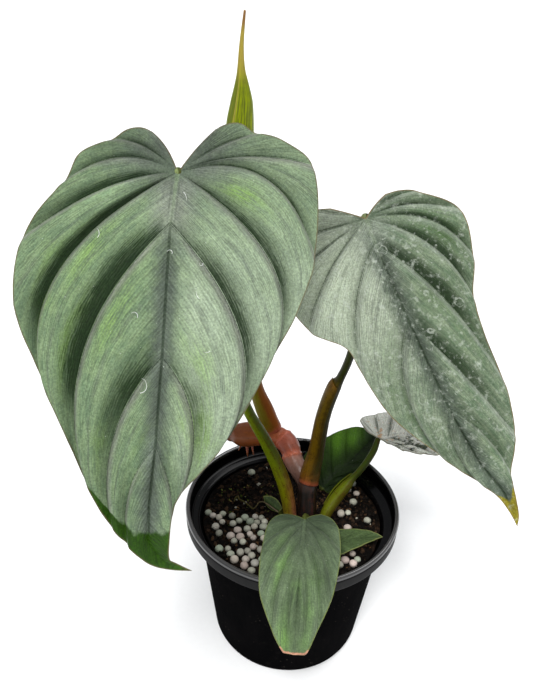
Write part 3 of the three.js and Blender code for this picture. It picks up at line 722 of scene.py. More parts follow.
        climb = (out / (out + self.RIB_CLEAR)) * (1 - 0.35 * part**4)
        tall = self.pleat * np.minimum(width, self.WIDEST) * climb
        fall = 1 - 0.15 * ease(way, 0.1, 0.55) - 0.85 * ease(way, self.shelf, 1.0)
        wave = ease(way, 0, self.riser) * fall
        second = way - 0.03 * np.sin(out / 8 + vein)
        crest = bell(second, 0.6, 0.07) - 0.8 * bell(second, 0.44, 0.06)
        wave += self.second * crest * ease(width, 8, 18) * ease(edge, 1, 12)
        height = tall * wave
        share = u / self._length
        height += self.arch * 4 * share * (1 - share) - self.droop * v * v
        height -= self.fold * np.hypot(v, self.ridge)
        inner = np.where((way < 1e-9) & (vein == 0), 9.0, np.minimum(after + (vein == 0) * 9, before))
        grooves = 0.22 * bell(inner, 0, 0.8) * ease(out, 1, 6) * ease(edge, 0.5, 6)
        midrib = bell(rib, 0, 1.9) - 0.75 * bell(rib, 0, 0.95) * ease(share, 0.75, 0.1)
        height -= grooves + 0.3 * midrib * ease(share, 1.0, 0.6) * (u > -1)
        flat = np.stack([u, v, 0 * u], axis=-1)
        height += self.crumple * ripple(flat, 26, self.seed, 3)
        height += self.ruffle * ripple(flat, 11, self.seed + 5, 2) * ease(edge, 7, 0)

        upper = self._start + u[..., None] * self._along + v[..., None] * self._across
        upper = upper + height[..., None] * self._out
        d_at = np.gradient(upper, axis=0)
        d_part = np.gradient(upper, axis=1)
        facing = np.abs(unit(np.cross(d_at, d_part)) @ self._out)
        slope = 1 / np.clip(facing, 0.6, 1)
        slope = 1 + (slope - 1) * ease(rib, 0.3, 3)
        body = self.thick * (0.55 + 0.45 * ease(edge, 0, 2.5))
        under_vein = 0.7 * bell(inner, 0, 0.75) * (1 - 0.75 * part) * ease(edge, 0.3, 5)
        under_rib = self.rib_depth * bell(rib, 0, 1.25) * ease(share, 1.0, 0.0) * (u > -2)
        body = body * slope + under_vein * ease(out, 0, 4) + under_rib
        lower = upper - body[..., None] * self._out

        self._tops.append((uv.reshape(-1, 2), upper.reshape(-1, 3)))
        cover = self.bloom_and_sheen(u, v, edge)
        values = {
            "vein_lines": np.stack([after, before, at], axis=-1),
            "leaf_edges": np.stack([rib, edge, 0 * u], axis=-1),
            "leaf_flat": np.stack([u, v, cover], axis=-1),
            "leaf_tint": self._tints(uv, at, width),
        }
        below = dict(values)
        below["leaf_edges"] = np.stack([rib, edge, 0 * u + 1], axis=-1)
        return upper, lower, values, below

    def mesh(self) -> bpy.types.Mesh:
        """Both faces of both halves, joined by a strip round the margin."""
        skin = Skin()
        for half in Half:
            upper, lower, values, below = self._half(half)
            turned = half is Half.RIGHT
            top = skin.points(upper, **values)
            base = skin.points(lower, **below)
            skin.cover(top, flip=turned)
            skin.cover(base, flip=not turned)
            rim = np.concatenate([top[0, :-1], top[:, -1], top[-1, -2::-1]])
            foot = np.concatenate([base[0, :-1], base[:, -1], base[-1, -2::-1]])
            skin.cover(np.stack([rim, foot]), flip=not turned)
        return skin.mesh(self.name)


class LeftBlade(Blade):
    """The large left blade: its tip, which turns from the light, has no silver grey."""

    def bloom_and_sheen(self, u: Array, v: Array, edge: Array) -> Array:
        """The silver grey ends at a wavy line across the tip, and a little sooner along the bent left
        margin: the painted sheen stops where the blade turns from the light.
        """
        wave = 0.7 * np.sin(v / 1.9) + 0.5 * np.sin(v / 0.8 + 1)
        line = 127 - 0.35 * np.abs(v + 3.5) + wave
        strip = 9 * ease(edge, 4, 0.8) * (v < -6)
        return ease(u + strip, line + 5, line - 5)


class RightBlade(Blade):
    """The large right blade: silver grey all over but on the drawn-out tip, which curls away from the
    light.
    """

    def bloom_and_sheen(self, u: Array, v: Array, edge: Array) -> Array:
        """The silver grey, partly painted sheen, thins out towards the tip."""
        return ease(u + 6 * ease(edge, 2.5, 0.5) * (u > 100), 135, 124)


class BladeMap:
    """What the layers of a blade's finish read: places on the blade, in millimetres, and noises.

    Attributes:
        after, before, at: distances from the vein behind and to the one ahead, and the count of veins.
        rib, edge, under: distances from the midrib and the margin, and 1 on the lower face.
        u, v, bloom: place along and across the blade, and how much of the silver grey, partly painted
            sheen, there is.
        glow, dim, scar: the patches; dim is painted shade, and painted light where it is below zero.
        width, way, near_vein: the gap between two veins, the share of it that is behind, and the
            distance from the nearer vein.
        sinus: distance from the sinus.
        flat: place on the blade with the veins kept apart.
        broad, mottle, streak, velvet: noises from wide to fine, the streaks along the veins.
        lines: the fine lines along the veins.
    """

    def __init__(self, g: Graph) -> None:
        """Adds the nodes that read the mesh and make the noises."""
        self.after, self.before, self.at = g.triple("vein_lines")
        self.rib, self.edge, self.under = g.triple("leaf_edges")
        self.u, self.v, self.bloom_and_sheen = g.triple("leaf_flat")
        self.glow, self.dim, self.scar = g.triple("leaf_tint")
        self.width = self.after + self.before
        self.way = self.after / g.most(self.width, 0.01)
        self.near_vein = g.least(self.after, self.before)
        self.sinus = (self.u * self.u + self.v * self.v) ** 0.5
        self.flat = g.join(self.u, self.v, self.at * 3)
        self.broad = g.noise(26.0, 2.0, 0.5, self.flat)
        self.mottle = g.noise(4.5, 3.0, 0.65, self.flat)
        self.streak = g.noise(1.0, 3.0, 0.65, self._drawn(g, 10, 0.07))
        self.velvet = g.ease(g.noise(0.75, 2.0, 0.75), 0.3, 0.7)
        self.lines = self._lines(g)

    def _drawn(self, g: Graph, across: float, along: float) -> Socket:
        """A place for noise that is stretched along the veins."""
        return g.join(self.at * across, self.u * along, self.v * along)

    def _lines(self, g: Graph) -> Socket:
        """Fine wavy lines that run with the veins, half as many where the veins are close."""
        bent = g.noise(1.0, 2.0, 0.5, self._drawn(g, 5, 0.11)) * 2.6
        fine, coarse = g.hatch(self.at * 27 + bent), g.hatch(self.at * 13 + bent)
        drawn = g.ease(g.noise(1.0, 2.0, 0.6, self._drawn(g, 30, 0.14)), 0.34, 0.64)
        chosen = (coarse + (fine - coarse) * g.ease(self.width, 10, 15)) * 0.45 + drawn * 0.55
        return 0.5 + (chosen - 0.5) * g.ease(self.width, 3, 8, 0.35, 1.0)


@dataclass(frozen=True)
class BladeFinish:
    """Living blade: silver grey over green that is partly painted sheen, fine lines along the veins, and
    deep valleys that are partly painted shade.

    Attributes:
        name: name of the material.
        green, bright: the two greens that the silver grey varies between.
        shoulder: the greyed tint beside the veins and the midrib.
        valley: the deep colour before each vein: the leaf's deep green darkened with painted shade, where
            the slope falls away from the light.
        lobe: the tint round the sinus.
        glow: the yellow-green of the patches.
        bare: the colour where there is no silver grey: the leaf's green, darkened as painted shade where
            the tip turns from the light.
        margin: the thin line round the blade.
        below, below_vein: the underside, and the veins that stand out on it.
        scar: the colour of scarred patches.
        spray: the colour of specks and dried spray.
        shoulder_share, valley_share, lobe_share: how strong those tints are.
        hatch_share: how strong the fine lines are.
        crease_share: how strong the thin dark line along each vein is, painted shade in its crease.
        late: how much later the valleys start on the left and on the right, as a share of a pleat.
        upper_late: how much later still they start in the lobes behind the sinus.
        slow: how much later they start close to the midrib, in front of the sinus.
        calm: the u where the valleys start to fade towards the tip, and where they have faded.
        rib_share: how dark the zone along the midrib and the painted shade of its groove are.
        rib_from: the u where that zone begins, and where it is full.
        soft_glow: how even the yellow-green is, from streaky at 0 to even at 1.
        cut: the u beyond which the margin is a scar, where the tip was cut off.
        reach: how far the sinus tint reaches.
        pale: colour of the half that is paler, painted light that shows that half as lit, or none.
        pale_side: that half, -1 for the left and 1 for the right.
        pale_share: how strong that colour is.
        pale_from: the u where it starts to come in, and where it is full.
        pale_until: the u where it has faded out, and where it starts to.
        residue: how much dried spray lies on the blade.
        cracks: how strong the deep green cracks of the left half are.
        rough: roughness where the silver grey lies.
        gloss: specular level.
    """

    name: str
    green: Colour
    bright: Colour
    shoulder: Colour
    valley: Colour
    lobe: Colour
    glow: Colour
    bare: Colour
    margin: Colour
    below: Colour
    below_vein: Colour = rgb(150, 150, 96)
    scar: Colour = rgb(196, 160, 140)
    spray: Colour = rgb(206, 214, 200)
    shoulder_share: float = 0.7
    valley_share: float = 0.85
    lobe_share: float = 0.6
    hatch_share: float = 0.8
    crease_share: float = 0.7
    late: Pair = (0.0, 0.0)
    upper_late: float = 0.0
    slow: float = 0.0
    calm: Pair = (900.0, 999.0)
    rib_share: float = 0.6
    rib_from: Pair = (12.0, 44.0)
    soft_glow: float = 0.1
    cut: float = 999.0
    reach: float = 34.0
    pale: Colour | None = None
    pale_side: int = -1
    pale_share: float = 1.0
    pale_from: Pair = (-999.0, -998.0)
    pale_until: Pair = (125.0, 85.0)
    residue: float = 0.0
    cracks: float = 0.0
    rough: float = 0.58
    gloss: float = 0.1

    def material(self) -> bpy.types.Material:
        """Builds the material: the upper face in layers, the underside, and low relief on both."""
        g = Graph(self.name)
        m = BladeMap(g)
        skin = self._greens(g, m)
        for layer in (self._shoulders, self._valleys, self._creases, self._bare, self._marks, self._rim):
            skin = layer(g, m, skin)
        colour = g.mix(g.ease(m.under, 0.2, 0.8), skin, self._back(g, m))
        height = m.lines * 0.42 + m.velvet * 0.14 + m.streak * 0.3 + m.mottle * 0.3
        rough = g.ease(m.bloom_and_sheen, 0.3, 0.7, 0.34, self.rough) + (m.velvet - 0.5) * 0.08
        return g.close(colour, rough, height, 0.3, Specular_IOR_Level=self.gloss,
                       Subsurface_Weight=0.04, Subsurface_Radius=(0.6, 1.0, 0.2), Subsurface_Scale=0.001)

    def _greens(self, g: Graph, m: BladeMap) -> Socket:
        """Two greens in streaks, the paler half of painted light, and the yellow-green of the patches."""
        skin = g.mix(g.ease(m.streak * 0.6 + m.mottle * 0.4, 0.36, 0.62), self.green, self.bright)
        # The paler half is painted light: one half of the blade shown as lit.
        if self.pale:
            half = g.ease(m.v * self.pale_side + (m.mottle - 0.5) * 8, -2, 9)
            half = half * g.ease(m.broad, 0.3, 0.6, 0.7, 1.0) * g.ease(m.u, *self.pale_from, 0.3, 1.0)
            half = half * g.ease(m.u, *self.pale_until, 0.1, 1.0)
            skin = g.mix(half * self.pale_share, skin, self.pale)
        streaky = m.streak * 0.6 + m.lines * 0.25 + m.mottle * 0.25
        return g.mix(m.glow * g.ease(streaky, 0.38, 0.68, self.soft_glow, 1.0), skin, self.glow)

    def _shoulders(self, g: Graph, m: BladeMap, skin: Socket) -> Socket:
        """Grey beside the veins and the midrib, darker along the rib and round the sinus."""
        by_vein = g.fade(m.after + (m.mottle - 0.5) * 2, 0.5, 5.0) * g.ease(m.width, 2, 9)
        by_vein = by_vein * g.ease(m.rib, 1.5, 8, 0.35, 1.0) * g.ease(m.streak, 0.25, 0.6, 0.6, 1.0)
        by_rib = g.fade(m.rib + (m.mottle - 0.5) * 4, 1.0, 7.0) * g.ease(m.u, *self.rib_from)
        by_top = g.fade(m.rib + (m.mottle - 0.5) * 5, 2, 11) * g.ease(m.u, 34, 12) * g.ease(m.u, 0, 4)
        second = g.maths("ABSOLUTE", m.way - 0.42 + (m.broad - 0.5) * 0.3)
        second = g.ease(second, 0.0, 0.06, 0.6, 0.0) * g.ease(m.width, 8, 16) * g.ease(m.mottle, 0.35, 0.55)
        skin = g.mix(g.most(by_vein, by_top * 0.9) * self.shoulder_share, skin, self.shoulder)
        skin = g.mix(g.most(by_rib * self.rib_share, second * self.shoulder_share), skin, self.lobe)
        near = g.fade(m.sinus + (m.mottle - 0.5) * 16, self.reach * 0.25, self.reach)
        return g.mix(near * g.ease(m.u, 12, -4, 0.25, 1.0) * self.lobe_share, skin, self.lobe)

    def _valleys(self, g: Graph, m: BladeMap, skin: Socket) -> Socket:
        """The deep colour before each vein, partly painted shade, then the shade of the fine lines, the
        painted shade and painted light of the patches, and clouds.
        """
        late = g.ease(m.v, -5, 5, *self.late) + g.ease(m.at, 2.0, 3.4, self.upper_late, 0.0)
        late = late + g.ease(m.rib, 1, 18, self.slow, 0.0) * g.ease(m.at, 3.4, 4.4)
        deep = m.way - late + (m.mottle - 0.5) * 0.14 + (m.lines - 0.5) * 0.2
        deep = g.ease(deep, 0.48, 0.86) * g.ease(m.width, 2, 8) * g.ease(m.edge, 0, 9, 0.35, 1.0)
        deep = deep * g.ease(m.rib, 0.5, 5) * g.ease(m.u, *self.calm, 1.0, 0.3)
        # The valley colour is partly painted shade: the slope before each vein falls away from the light.
        skin = g.mix(deep * self.valley_share, skin, self.valley)
        drawn = 1.0 + (m.lines - 0.5) * self.hatch_share
        return g.shade(skin, drawn - m.dim * 0.55 + (m.broad - 0.5) * 0.38)

    def _creases(self, g: Graph, m: BladeMap, skin: Socket) -> Socket:
        """Thin dark lines of painted shade in the creases along the veins and the grooves by the midrib,
        and a light band of painted highlight on the rib's upper end.
        """
        crease = g.fade(m.near_vein + (m.velvet - 0.5) * 0.3, 0.15, 0.75) * g.ease(m.edge, 0.4, 4)
        crease = crease * g.ease(m.width, 1.5, 5) * self.crease_share
        groove = g.fade(m.rib, 0.2, 0.75) * g.ease(m.u, 8, 26) * (self.rib_share * 0.7)
        line = g.ease(g.maths("ABSOLUTE", m.rib - 1.25), 0.1, 0.5, 0.25, 0.0)
        line = line * g.ease(m.u, 1, 6) * g.ease(m.u, 34, 8)
        skin = g.mix(g.most(g.most(crease, groove), line), skin, self.valley)
        # Painted highlight on the top of the raised midrib near the sinus.
        band = g.fade(m.rib, 0.3, 1.0) * g.ease(m.u, 24, 2) * g.ease(m.u, -0.5, 0.5)
        return g.mix(band * 0.5, skin, self.bright)

    def _bare(self, g: Graph, m: BladeMap, skin: Socket) -> Socket:
        """Scarred patches, then the bare colour where the silver grey and its painted sheen end, all with a
        velvet grain.
        """
        flesh = g.ease(m.scar + (m.mottle - 0.5) * 0.9, 0.35, 0.6)
        skin = g.mix(flesh * 0.85, skin, self.scar)
        naked = g.shade(self.bare, 0.3 + m.mottle * 0.5 + m.lines * 0.5 + g.ease(m.edge, 3, 0) * 0.25)
        skin = g.mix(g.fade(m.bloom_and_sheen + (m.mottle - 0.5) * 0.5, 0.35, 0.65), skin, naked)
        return g.shade(skin, 0.78 + m.velvet * 0.44)

    def _marks(self, g: Graph, m: BladeMap, skin: Socket) -> Socket:
        """Pale specks, dried spray, and cracks with brown spots that crowd towards the sinus."""
        speck = g.fade(g.cells(3.4), 0.035, 0.075) * g.ease(m.mottle, 0.48, 0.6)
        skin = g.mix(speck * 0.5, skin, self.spray)
        if self.residue:
            skin = g.mix(self._dried(g, m.flat, m.mottle) * self.residue, skin, self.spray)
        if self.cracks:
            torn = g.noise(2.6, 4.0, 0.7, g.join(m.u * 0.4, m.v, 0.0))
            torn = g.ease(torn, 0.5, 0.58) * g.ease(m.v, 1, -2.5, 0.12, 1.0) * g.ease(m.u, 3, 12, 0.2, 1.0)
            skin = g.mix(torn * self.cracks, skin, self.valley)
            brown = g.fade(g.cells(2.4), 0.16, 0.3) * g.ease(m.sinus, 3, 20, 0.8, 0.2)
            skin = g.mix(brown, skin, self.scar)
        return skin

    def _rim(self, g: Graph, m: BladeMap, skin: Socket) -> Socket:
        """The thin line round the blade, and the scar where the tip was cut off."""
        rim = g.fade(m.edge + (m.mottle - 0.5) * 0.5, 0.15, 0.6)
        skin = g.mix(rim * 0.7, skin, self.margin)
        stub = g.fade(m.edge + (m.velvet - 0.5) * 0.4, 0.5, 0.9) * g.ease(m.u, self.cut, self.cut + 0.8)
        return g.mix(stub, skin, g.shade(self.scar, 0.7 + m.velvet * 0.5))

    def _back(self, g: Graph, m: BladeMap) -> Socket:
        """The underside: clouded and streaked, with paler veins and midrib."""
        back = g.mix(g.ease(m.broad, 0.35, 0.65), self.below, g.shade(self.below, 0.7 + m.streak * 0.5))
        raised = g.most(g.fade(m.near_vein, 0.5, 1.3) * g.ease(m.edge, 0.5, 6), g.fade(m.rib, 1.2, 2.2))
        return g.shade(g.mix(raised * 0.55, back, self.below_vein), 0.9 + m.velvet * 0.2)

    def _dried(self, g: Graph, flat: Socket, mottle: Socket) -> Socket:
        """Dried spray: small spots, streaks and the outlines of larger drops."""
        wavy = g.join(mottle * 5, mottle * 4, 0.0)
        at = g.link(g.node("ShaderNodeVectorMath", {"operation": "ADD"}, {0: flat, 1: wavy}))
        ring = g.fade(g.maths("ABSOLUTE", g.cells(9.0, at) - 0.2), 0.012, 0.03)
        ring = ring * g.ease(g.noise(9.0, 1.0), 0.5, 0.56) * g.ease(mottle, 0.4, 0.55, 0.3, 1.0)
        uneven = (g.noise(1.3, 2.0, 0.6) - 0.5) * 0.5
        spots = g.fade(g.cells(2.3, at) + uneven, 0.06, 0.26)
        spots = spots * g.ease(g.noise(5.0, 3.0, 0.7), 0.42, 0.62)
        film = g.ease(g.noise(2.6, 4.0, 0.7, flat), 0.5, 0.72)
        return g.most(g.most(spots * 0.5, ring * 0.5), film * 0.6 * g.ease(mottle, 0.35, 0.6))


# Stalks, stem and rolled leaf


@dataclass(frozen=True)
class Station:
    """A point of a stalk's middle line with the radius there."""

    at: Triple
    radius: float


@dataclass
class Stalk:
    """A round stalk along stations, closed by a dome.

    Attributes:
        name, nodes, slot: names of the piece, of its solids and of its material slot; the slot is not used.
        stations: middle line and radii, the same as the solid's.
        sides, steps: facets round and samples along.
        reference: a direction that the stalk never points along.
        ribs: number of faint ridges round it.
        rough: height of its unevenness as a part of its radius.
        seed: picks the unevenness.
    """

    name: str
    nodes: tuple[str, ...]
    slot: str
    stations: tuple[Station, ...]
    sides: int = 28
    steps: int = 160
    reference: Triple = (1.0, 0.0, 0.0)
    ribs: int = 9
    rough: float = 0.03
    seed: int = 3

    def line(self, t: Array) -> tuple[Array, Array]:
        """Middle points and radii at places from 0 to 1."""
        points = centripetal(np.array([s.at for s in self.stations], float), t)
        knots = np.linspace(0, 1, len(self.stations))
        radii = smooth_line(knots, np.array([[s.radius] for s in self.stations]), t)[:, 0]
        return points, radii

    def frames(self, t: Array) -> tuple[Array, Array, Array]:
        """Directions along, across and square to both, from small steps along the line."""
        along = unit(self.line(np.minimum(t + 1e-4, 1))[0] - self.line(np.maximum(t - 1e-4, 0))[0])
        ref = np.array(self.reference)
        across = unit(ref - (along @ ref)[:, None] * along)
        return along, across, np.cross(along, across)

    def profile(self, t: Array, radii: Array) -> Array:
        """Radii along the stalk, for details that a kind of stalk adds."""
        return radii

    def surface(self) -> tuple[Array, dict[str, Array]]:
        """Rings of points: radius times one plus ridges and unevenness, then a dome and closed poles."""
        t = np.linspace(0, 1, self.steps + 1)
        points, radii = self.line(t)
        radii = self.profile(t, radii)
        along, across, third = self.frames(t)
        rise = np.linspace(0, math.pi / 2, 7)[1:]
        tail = points[-1] + along[-1] * (radii[-1] * np.sin(rise))[:, None]
        points = np.concatenate([points[:1], points, tail])
        radii = np.concatenate([[0], radii, radii[-1] * np.cos(rise)])
        radii[-1] = 0
        order = np.concatenate([[0], np.arange(self.steps + 1), np.full(6, self.steps)])
        along, across, third, t = along[order], across[order], third[order], t[order]
        turn = full_turn(self.sides)
        around = across[:, None] * np.cos(turn)[:, None] + third[:, None] * np.sin(turn)[:, None]
        place = points[:, None] + around * radii[:, None, None]
        lumps = ripple(place, 7, self.seed, 3) + 0.35 * np.sin(self.ribs * turn)
        wide = radii[:, None, None] * (1 + self.rough * lumps[..., None])
        place = points[:, None] + around * wide
        length = np.concatenate([[0], np.cumsum(np.linalg.norm(np.diff(points, axis=0), axis=1))])
        shape = place.shape[:-1]
        run = np.stack([
            np.broadcast_to(length[:, None], shape),
            np.broadcast_to(turn / TURN, shape),
            np.broadcast_to(t[:, None], shape),
        ], axis=-1)
        side = np.broadcast_to(around, place.shape)
        return place, {"stalk_run": run, "stalk_side": side}

    def mesh(self) -> bpy.types.Mesh:
        """The closed tube."""
        skin = Skin()
        place, values = self.surface()
        skin.cover(skin.points(place, **values), round_columns=True)
        return skin.mesh(self.name)


class RingedStem(Stalk):
    """The creeping stem, with a raised ring and a shallow waist at each leaf scar."""

    RINGS = (0.455, 0.62, 0.745)  # places along the stem

    def profile(self, t: Array, radii: Array) -> Array:
        """Adds a narrow bead at each ring and a wider hollow after it."""
        extra = np.zeros_like(t)
        for ring in self.RINGS:
            extra += 0.07 * bell(t, ring, 0.008) - 0.035 * bell(t - ring, 0.022, 0.012)
        return radii * (1 + extra)


@dataclass(frozen=True)
class StalkFinish:
    """Smooth living stalk: a colour that changes along it, another on one side that is mostly painted
    shade, streaks and speckles.

    Attributes:
        name: name of the material.
        stops: places from 0 at the foot to 1 at the top, with colours.
        side_stops: the same for the other side, mostly darker: painted shade on the side turned from the
            light.
        side: direction of that side.
        side_share: how strong its colour is.
        speckle: colour of the speckles.
        speckles: how many there are, from 0 to 1.
        rough: roughness.
        gloss: specular level.
    """

    name: str
    stops: Stops
    side_stops: Stops
    side: Triple = (1.0, 0.0, 0.0)
    side_share: float = 0.8
    speckle: Colour = rgb(96, 58, 28)
    speckles: float = 0.5
    rough: float = 0.42
    gloss: float = 0.07

    def material(self) -> bpy.types.Material:
        """Builds the material from the stalk's run and side."""
        g = Graph(self.name)
        run, turn, t = g.triple("stalk_run")
        side = g.triple("stalk_side")
        streak = g.noise(1.0, 2.0, 0.6, g.join(turn * 22, run * 0.07, turn * 3))
        blotch = g.noise(3.2, 3.0, 0.6)
        grain = g.noise(0.6, 2.0, 0.65)
        place = t + (blotch - 0.5) * 0.02
        # The side turned from the light takes the side stops: mostly painted shade.
        facing = side[0] * self.side[0] + side[1] * self.side[1] + side[2] * self.side[2]
        turned = g.ease(facing + (streak - 0.5) * 0.6 + (blotch - 0.5) * 0.4, -0.25, 0.6)
        colour = g.mix(turned * self.side_share, g.ramp(place, self.stops), g.ramp(place, self.side_stops))
        colour = g.shade(colour, 0.4 + streak * 0.85 + blotch * 0.42)
        dots = g.fade(g.cells(1.7), 0.14, 0.3) * g.ease(blotch, 0.42, 0.56)
        fine = g.fade(g.cells(0.8), 0.2, 0.4) * g.ease(grain, 0.45, 0.6)
        dots = g.most(dots, fine * 0.8)
        smear = g.ease(streak * 0.55 + blotch * 0.45, 0.48, 0.6) * 0.6
        colour = g.mix(g.most(dots, smear) * self.speckles, colour, self.speckle)
        height = streak * 0.6 + grain * 0.4
        rough = self.rough + (blotch - 0.5) * 0.2
        return g.close(colour, rough, height, 0.16, Specular_IOR_Level=self.gloss, Subsurface_Weight=0.04,
                       Subsurface_Radius=(1.0, 0.8, 0.3), Subsurface_Scale=0.001)


@dataclass
class Sheath:
    """A thin wing that wraps part of a stalk and stands free of it at its edges.

    Attributes:
        name, slot: names of the piece and of its material slot; the slot is not used.
        stalk: the stalk that carries it.
        start, end: its stretch along the stalk, from 0 to 1.
        middle: the direction round the stalk that it faces, in turns.
        spread: how far it reaches to each side of that, in turns.
        gap: distance from the stalk at its middle.
        flare: how far its free edges stand off.
        thick: its thickness.
        shoulder: share of the stretch over which it keeps its full width.
    """

    name: str
    slot: str
    stalk: Stalk
    start: float
    end: float
    middle: float
    spread: float
    gap: float = 0.15
    flare: float = 0.9
    thick: float = 0.35
    shoulder: float = 0.8

    RUN = 100  # the finish reads a whole stalk as this many millimetres

    def mesh(self) -> bpy.types.Mesh:
        """A grid along and round the stalk, offset twice.

        Its half width round the stalk stays full up to the shoulder and then closes as a quarter
        ellipse, so that the top ends in a rounded ear.
        """
        s = np.linspace(0, 1, 90)
        w = np.linspace(-1, 1, 26)
        t = self.start + (self.end - self.start) * s
        points, radii = self.stalk.line(t)
        _, across, third = self.stalk.frames(t)
        fall = np.clip((s - self.shoulder) / (1 - self.shoulder), 0, 1)
        half = self.spread * np.sqrt(np.maximum(1 - fall**2, 1e-4)) * ease(s, -0.02, 0.12)
        turn = TURN * (self.middle + half[:, None] * w)
        around = across[:, None] * np.cos(turn)[..., None] + third[:, None] * np.sin(turn)[..., None]
        stand = self.gap + self.flare * np.abs(w) ** 3 * ease(s, 0.05, 0.5)[:, None]
        outer = points[:, None] + around * (radii[:, None] + stand + self.thick)[..., None]
        inner = points[:, None] + around * (radii[:, None] + stand * 0.92 - 0.1)[..., None]
        length = (self.end - self.start) * self.RUN * s
        shape = outer.shape[:-1]
        run = np.stack([
            np.broadcast_to(length[:, None], shape),
            turn / TURN,
            np.broadcast_to(t[:, None], shape),
        ], axis=-1)
        values = {"stalk_run": run, "stalk_side": around}
        skin = Skin()
        top, low = skin.points(outer, **values), skin.points(inner, **values)
        skin.cover(top)
        skin.cover(low, flip=True)
        rim = np.concatenate([top[0], top[1:, -1], top[-1, -2::-1], top[-2::-1, 0]])
        foot = np.concatenate([low[0], low[1:, -1], low[-1, -2::-1], low[-2::-1, 0]])
        skin.cover(np.stack([rim, foot]), flip=True)
        return skin.mesh(self.name)


@dataclass(frozen=True)
class Thread:
    """One fine curled thread on a blade: its middle, heading and whole turn in degrees, and length."""

    at: Pair
    heading: float
    turn: float
    length: float


@dataclass
class Lint:
    """Fine pale threads that lie on a blade.

    Attributes:
        name, slot: names of the piece and of its material slot.
        blade: the blade that carries them, already made.
        threads: the threads.
        radius: their radius.
    """

    name: str
    slot: str
    blade: Blade
    threads: tuple[Thread, ...]
    radius: float = 0.075

    def mesh(self) -> bpy.types.Mesh:
        """Tubes along arcs on the blade: the heading turns evenly, and the middle stands a little off."""
        skin = Skin()
        s = np.linspace(0, 1, 9)
        for thread in self.threads:
            way = np.radians(thread.heading + thread.turn * (s - 0.5))
            steps = np.stack([np.cos(way), np.sin(way)], axis=-1) * thread.length / len(s)
            line = np.cumsum(steps, axis=0)
            middle = self.blade.above(np.array(thread.at) + line - line.mean(axis=0), 0.12)
            middle = middle + self.blade.out * (0.3 * np.sin(math.pi * s))[:, None]
            knots = tuple(Station(tuple(p), self.radius) for p in middle)
            aside = tuple(self.blade.out)
            tube = Stalk(self.name, (), self.slot, knots, sides=8, steps=40, reference=aside)
            place, values = tube.surface()
            skin.cover(skin.points(place, **values), round_columns=True)
        return skin.mesh(self.name)


@dataclass
class RolledLeaf(Stalk):
    """The new leaf, rolled round itself: its section is a spiral, one margin lapped over the other.

    Attributes:
        lap: height of the step where the margin ends.
        lap_angle: direction of that step.
        wind: how far the step turns on its way to the tip.
    """

    lap: float = 0.8
    lap_angle: float = -2.15
    wind: float = 0.5

    RUN = 120  # the finish reads the whole leaf as this many millimetres
    POINTS = 72  # round each section
    LIP = (0.35, 0.7, 0.95)  # how far in the last points roll, in laps
    OVAL = 0.85  # depth of a section as a share of its width
    RIDGES = 11
    RIDGE_HEIGHT = 0.012  # as a share of the radius
    TIP = 0.4  # height of the closing point above the last section

    def mesh(self) -> bpy.types.Mesh:
        """Level spiral sections up the middle line.

        The reach is the radius less a lap that grows evenly round the turn, with the last few points
        rolled in so that the margin has a rounded lip.
        """
        t = np.linspace(0, 1, 240)
        points, radii = self.line(t)
        turn = np.concatenate([np.linspace(0, 1, self.POINTS), np.ones(len(self.LIP))])
        drop = np.concatenate([np.zeros(self.POINTS), self.LIP])
        lap = np.minimum(self.lap, radii * 0.3)[:, None]
        lip = (0.28 * bell(turn, 0, 0.02) - 0.1 * bell(turn, 0.05, 0.03)) * (drop == 0)
        angle = self.lap_angle + self.wind * t[:, None] ** 1.5 + TURN * turn
        ridges = self.RIDGE_HEIGHT * np.sin(angle * self.RIDGES)
        reach = radii[:, None] * (1 + ridges) - lap * (turn - drop - lip)
        section = about_axis(reach, angle, 0.0) * (1, self.OVAL, 1)
        place = points[:, None] + section
        tip = points[-1] + (0, 0, self.TIP)
        foot, top = (np.broadcast_to(p, (1, place.shape[1], 3)) for p in (points[0], tip))
        place = np.concatenate([foot, place, top])
        t = np.concatenate([t[:1], t, t[-1:]])
        shape = place.shape[:-1]
        along = np.broadcast_to(t[:, None], shape)
        run = np.stack([along * self.RUN, np.broadcast_to(turn, shape), along], axis=-1)
        side = np.stack([np.broadcast_to(drop, shape), 0 * along, 0 * along], axis=-1)
        skin = Skin()
        skin.cover(skin.points(place, stalk_run=run, stalk_side=side), round_columns=True)
        return skin.mesh(self.name, sharp=50)


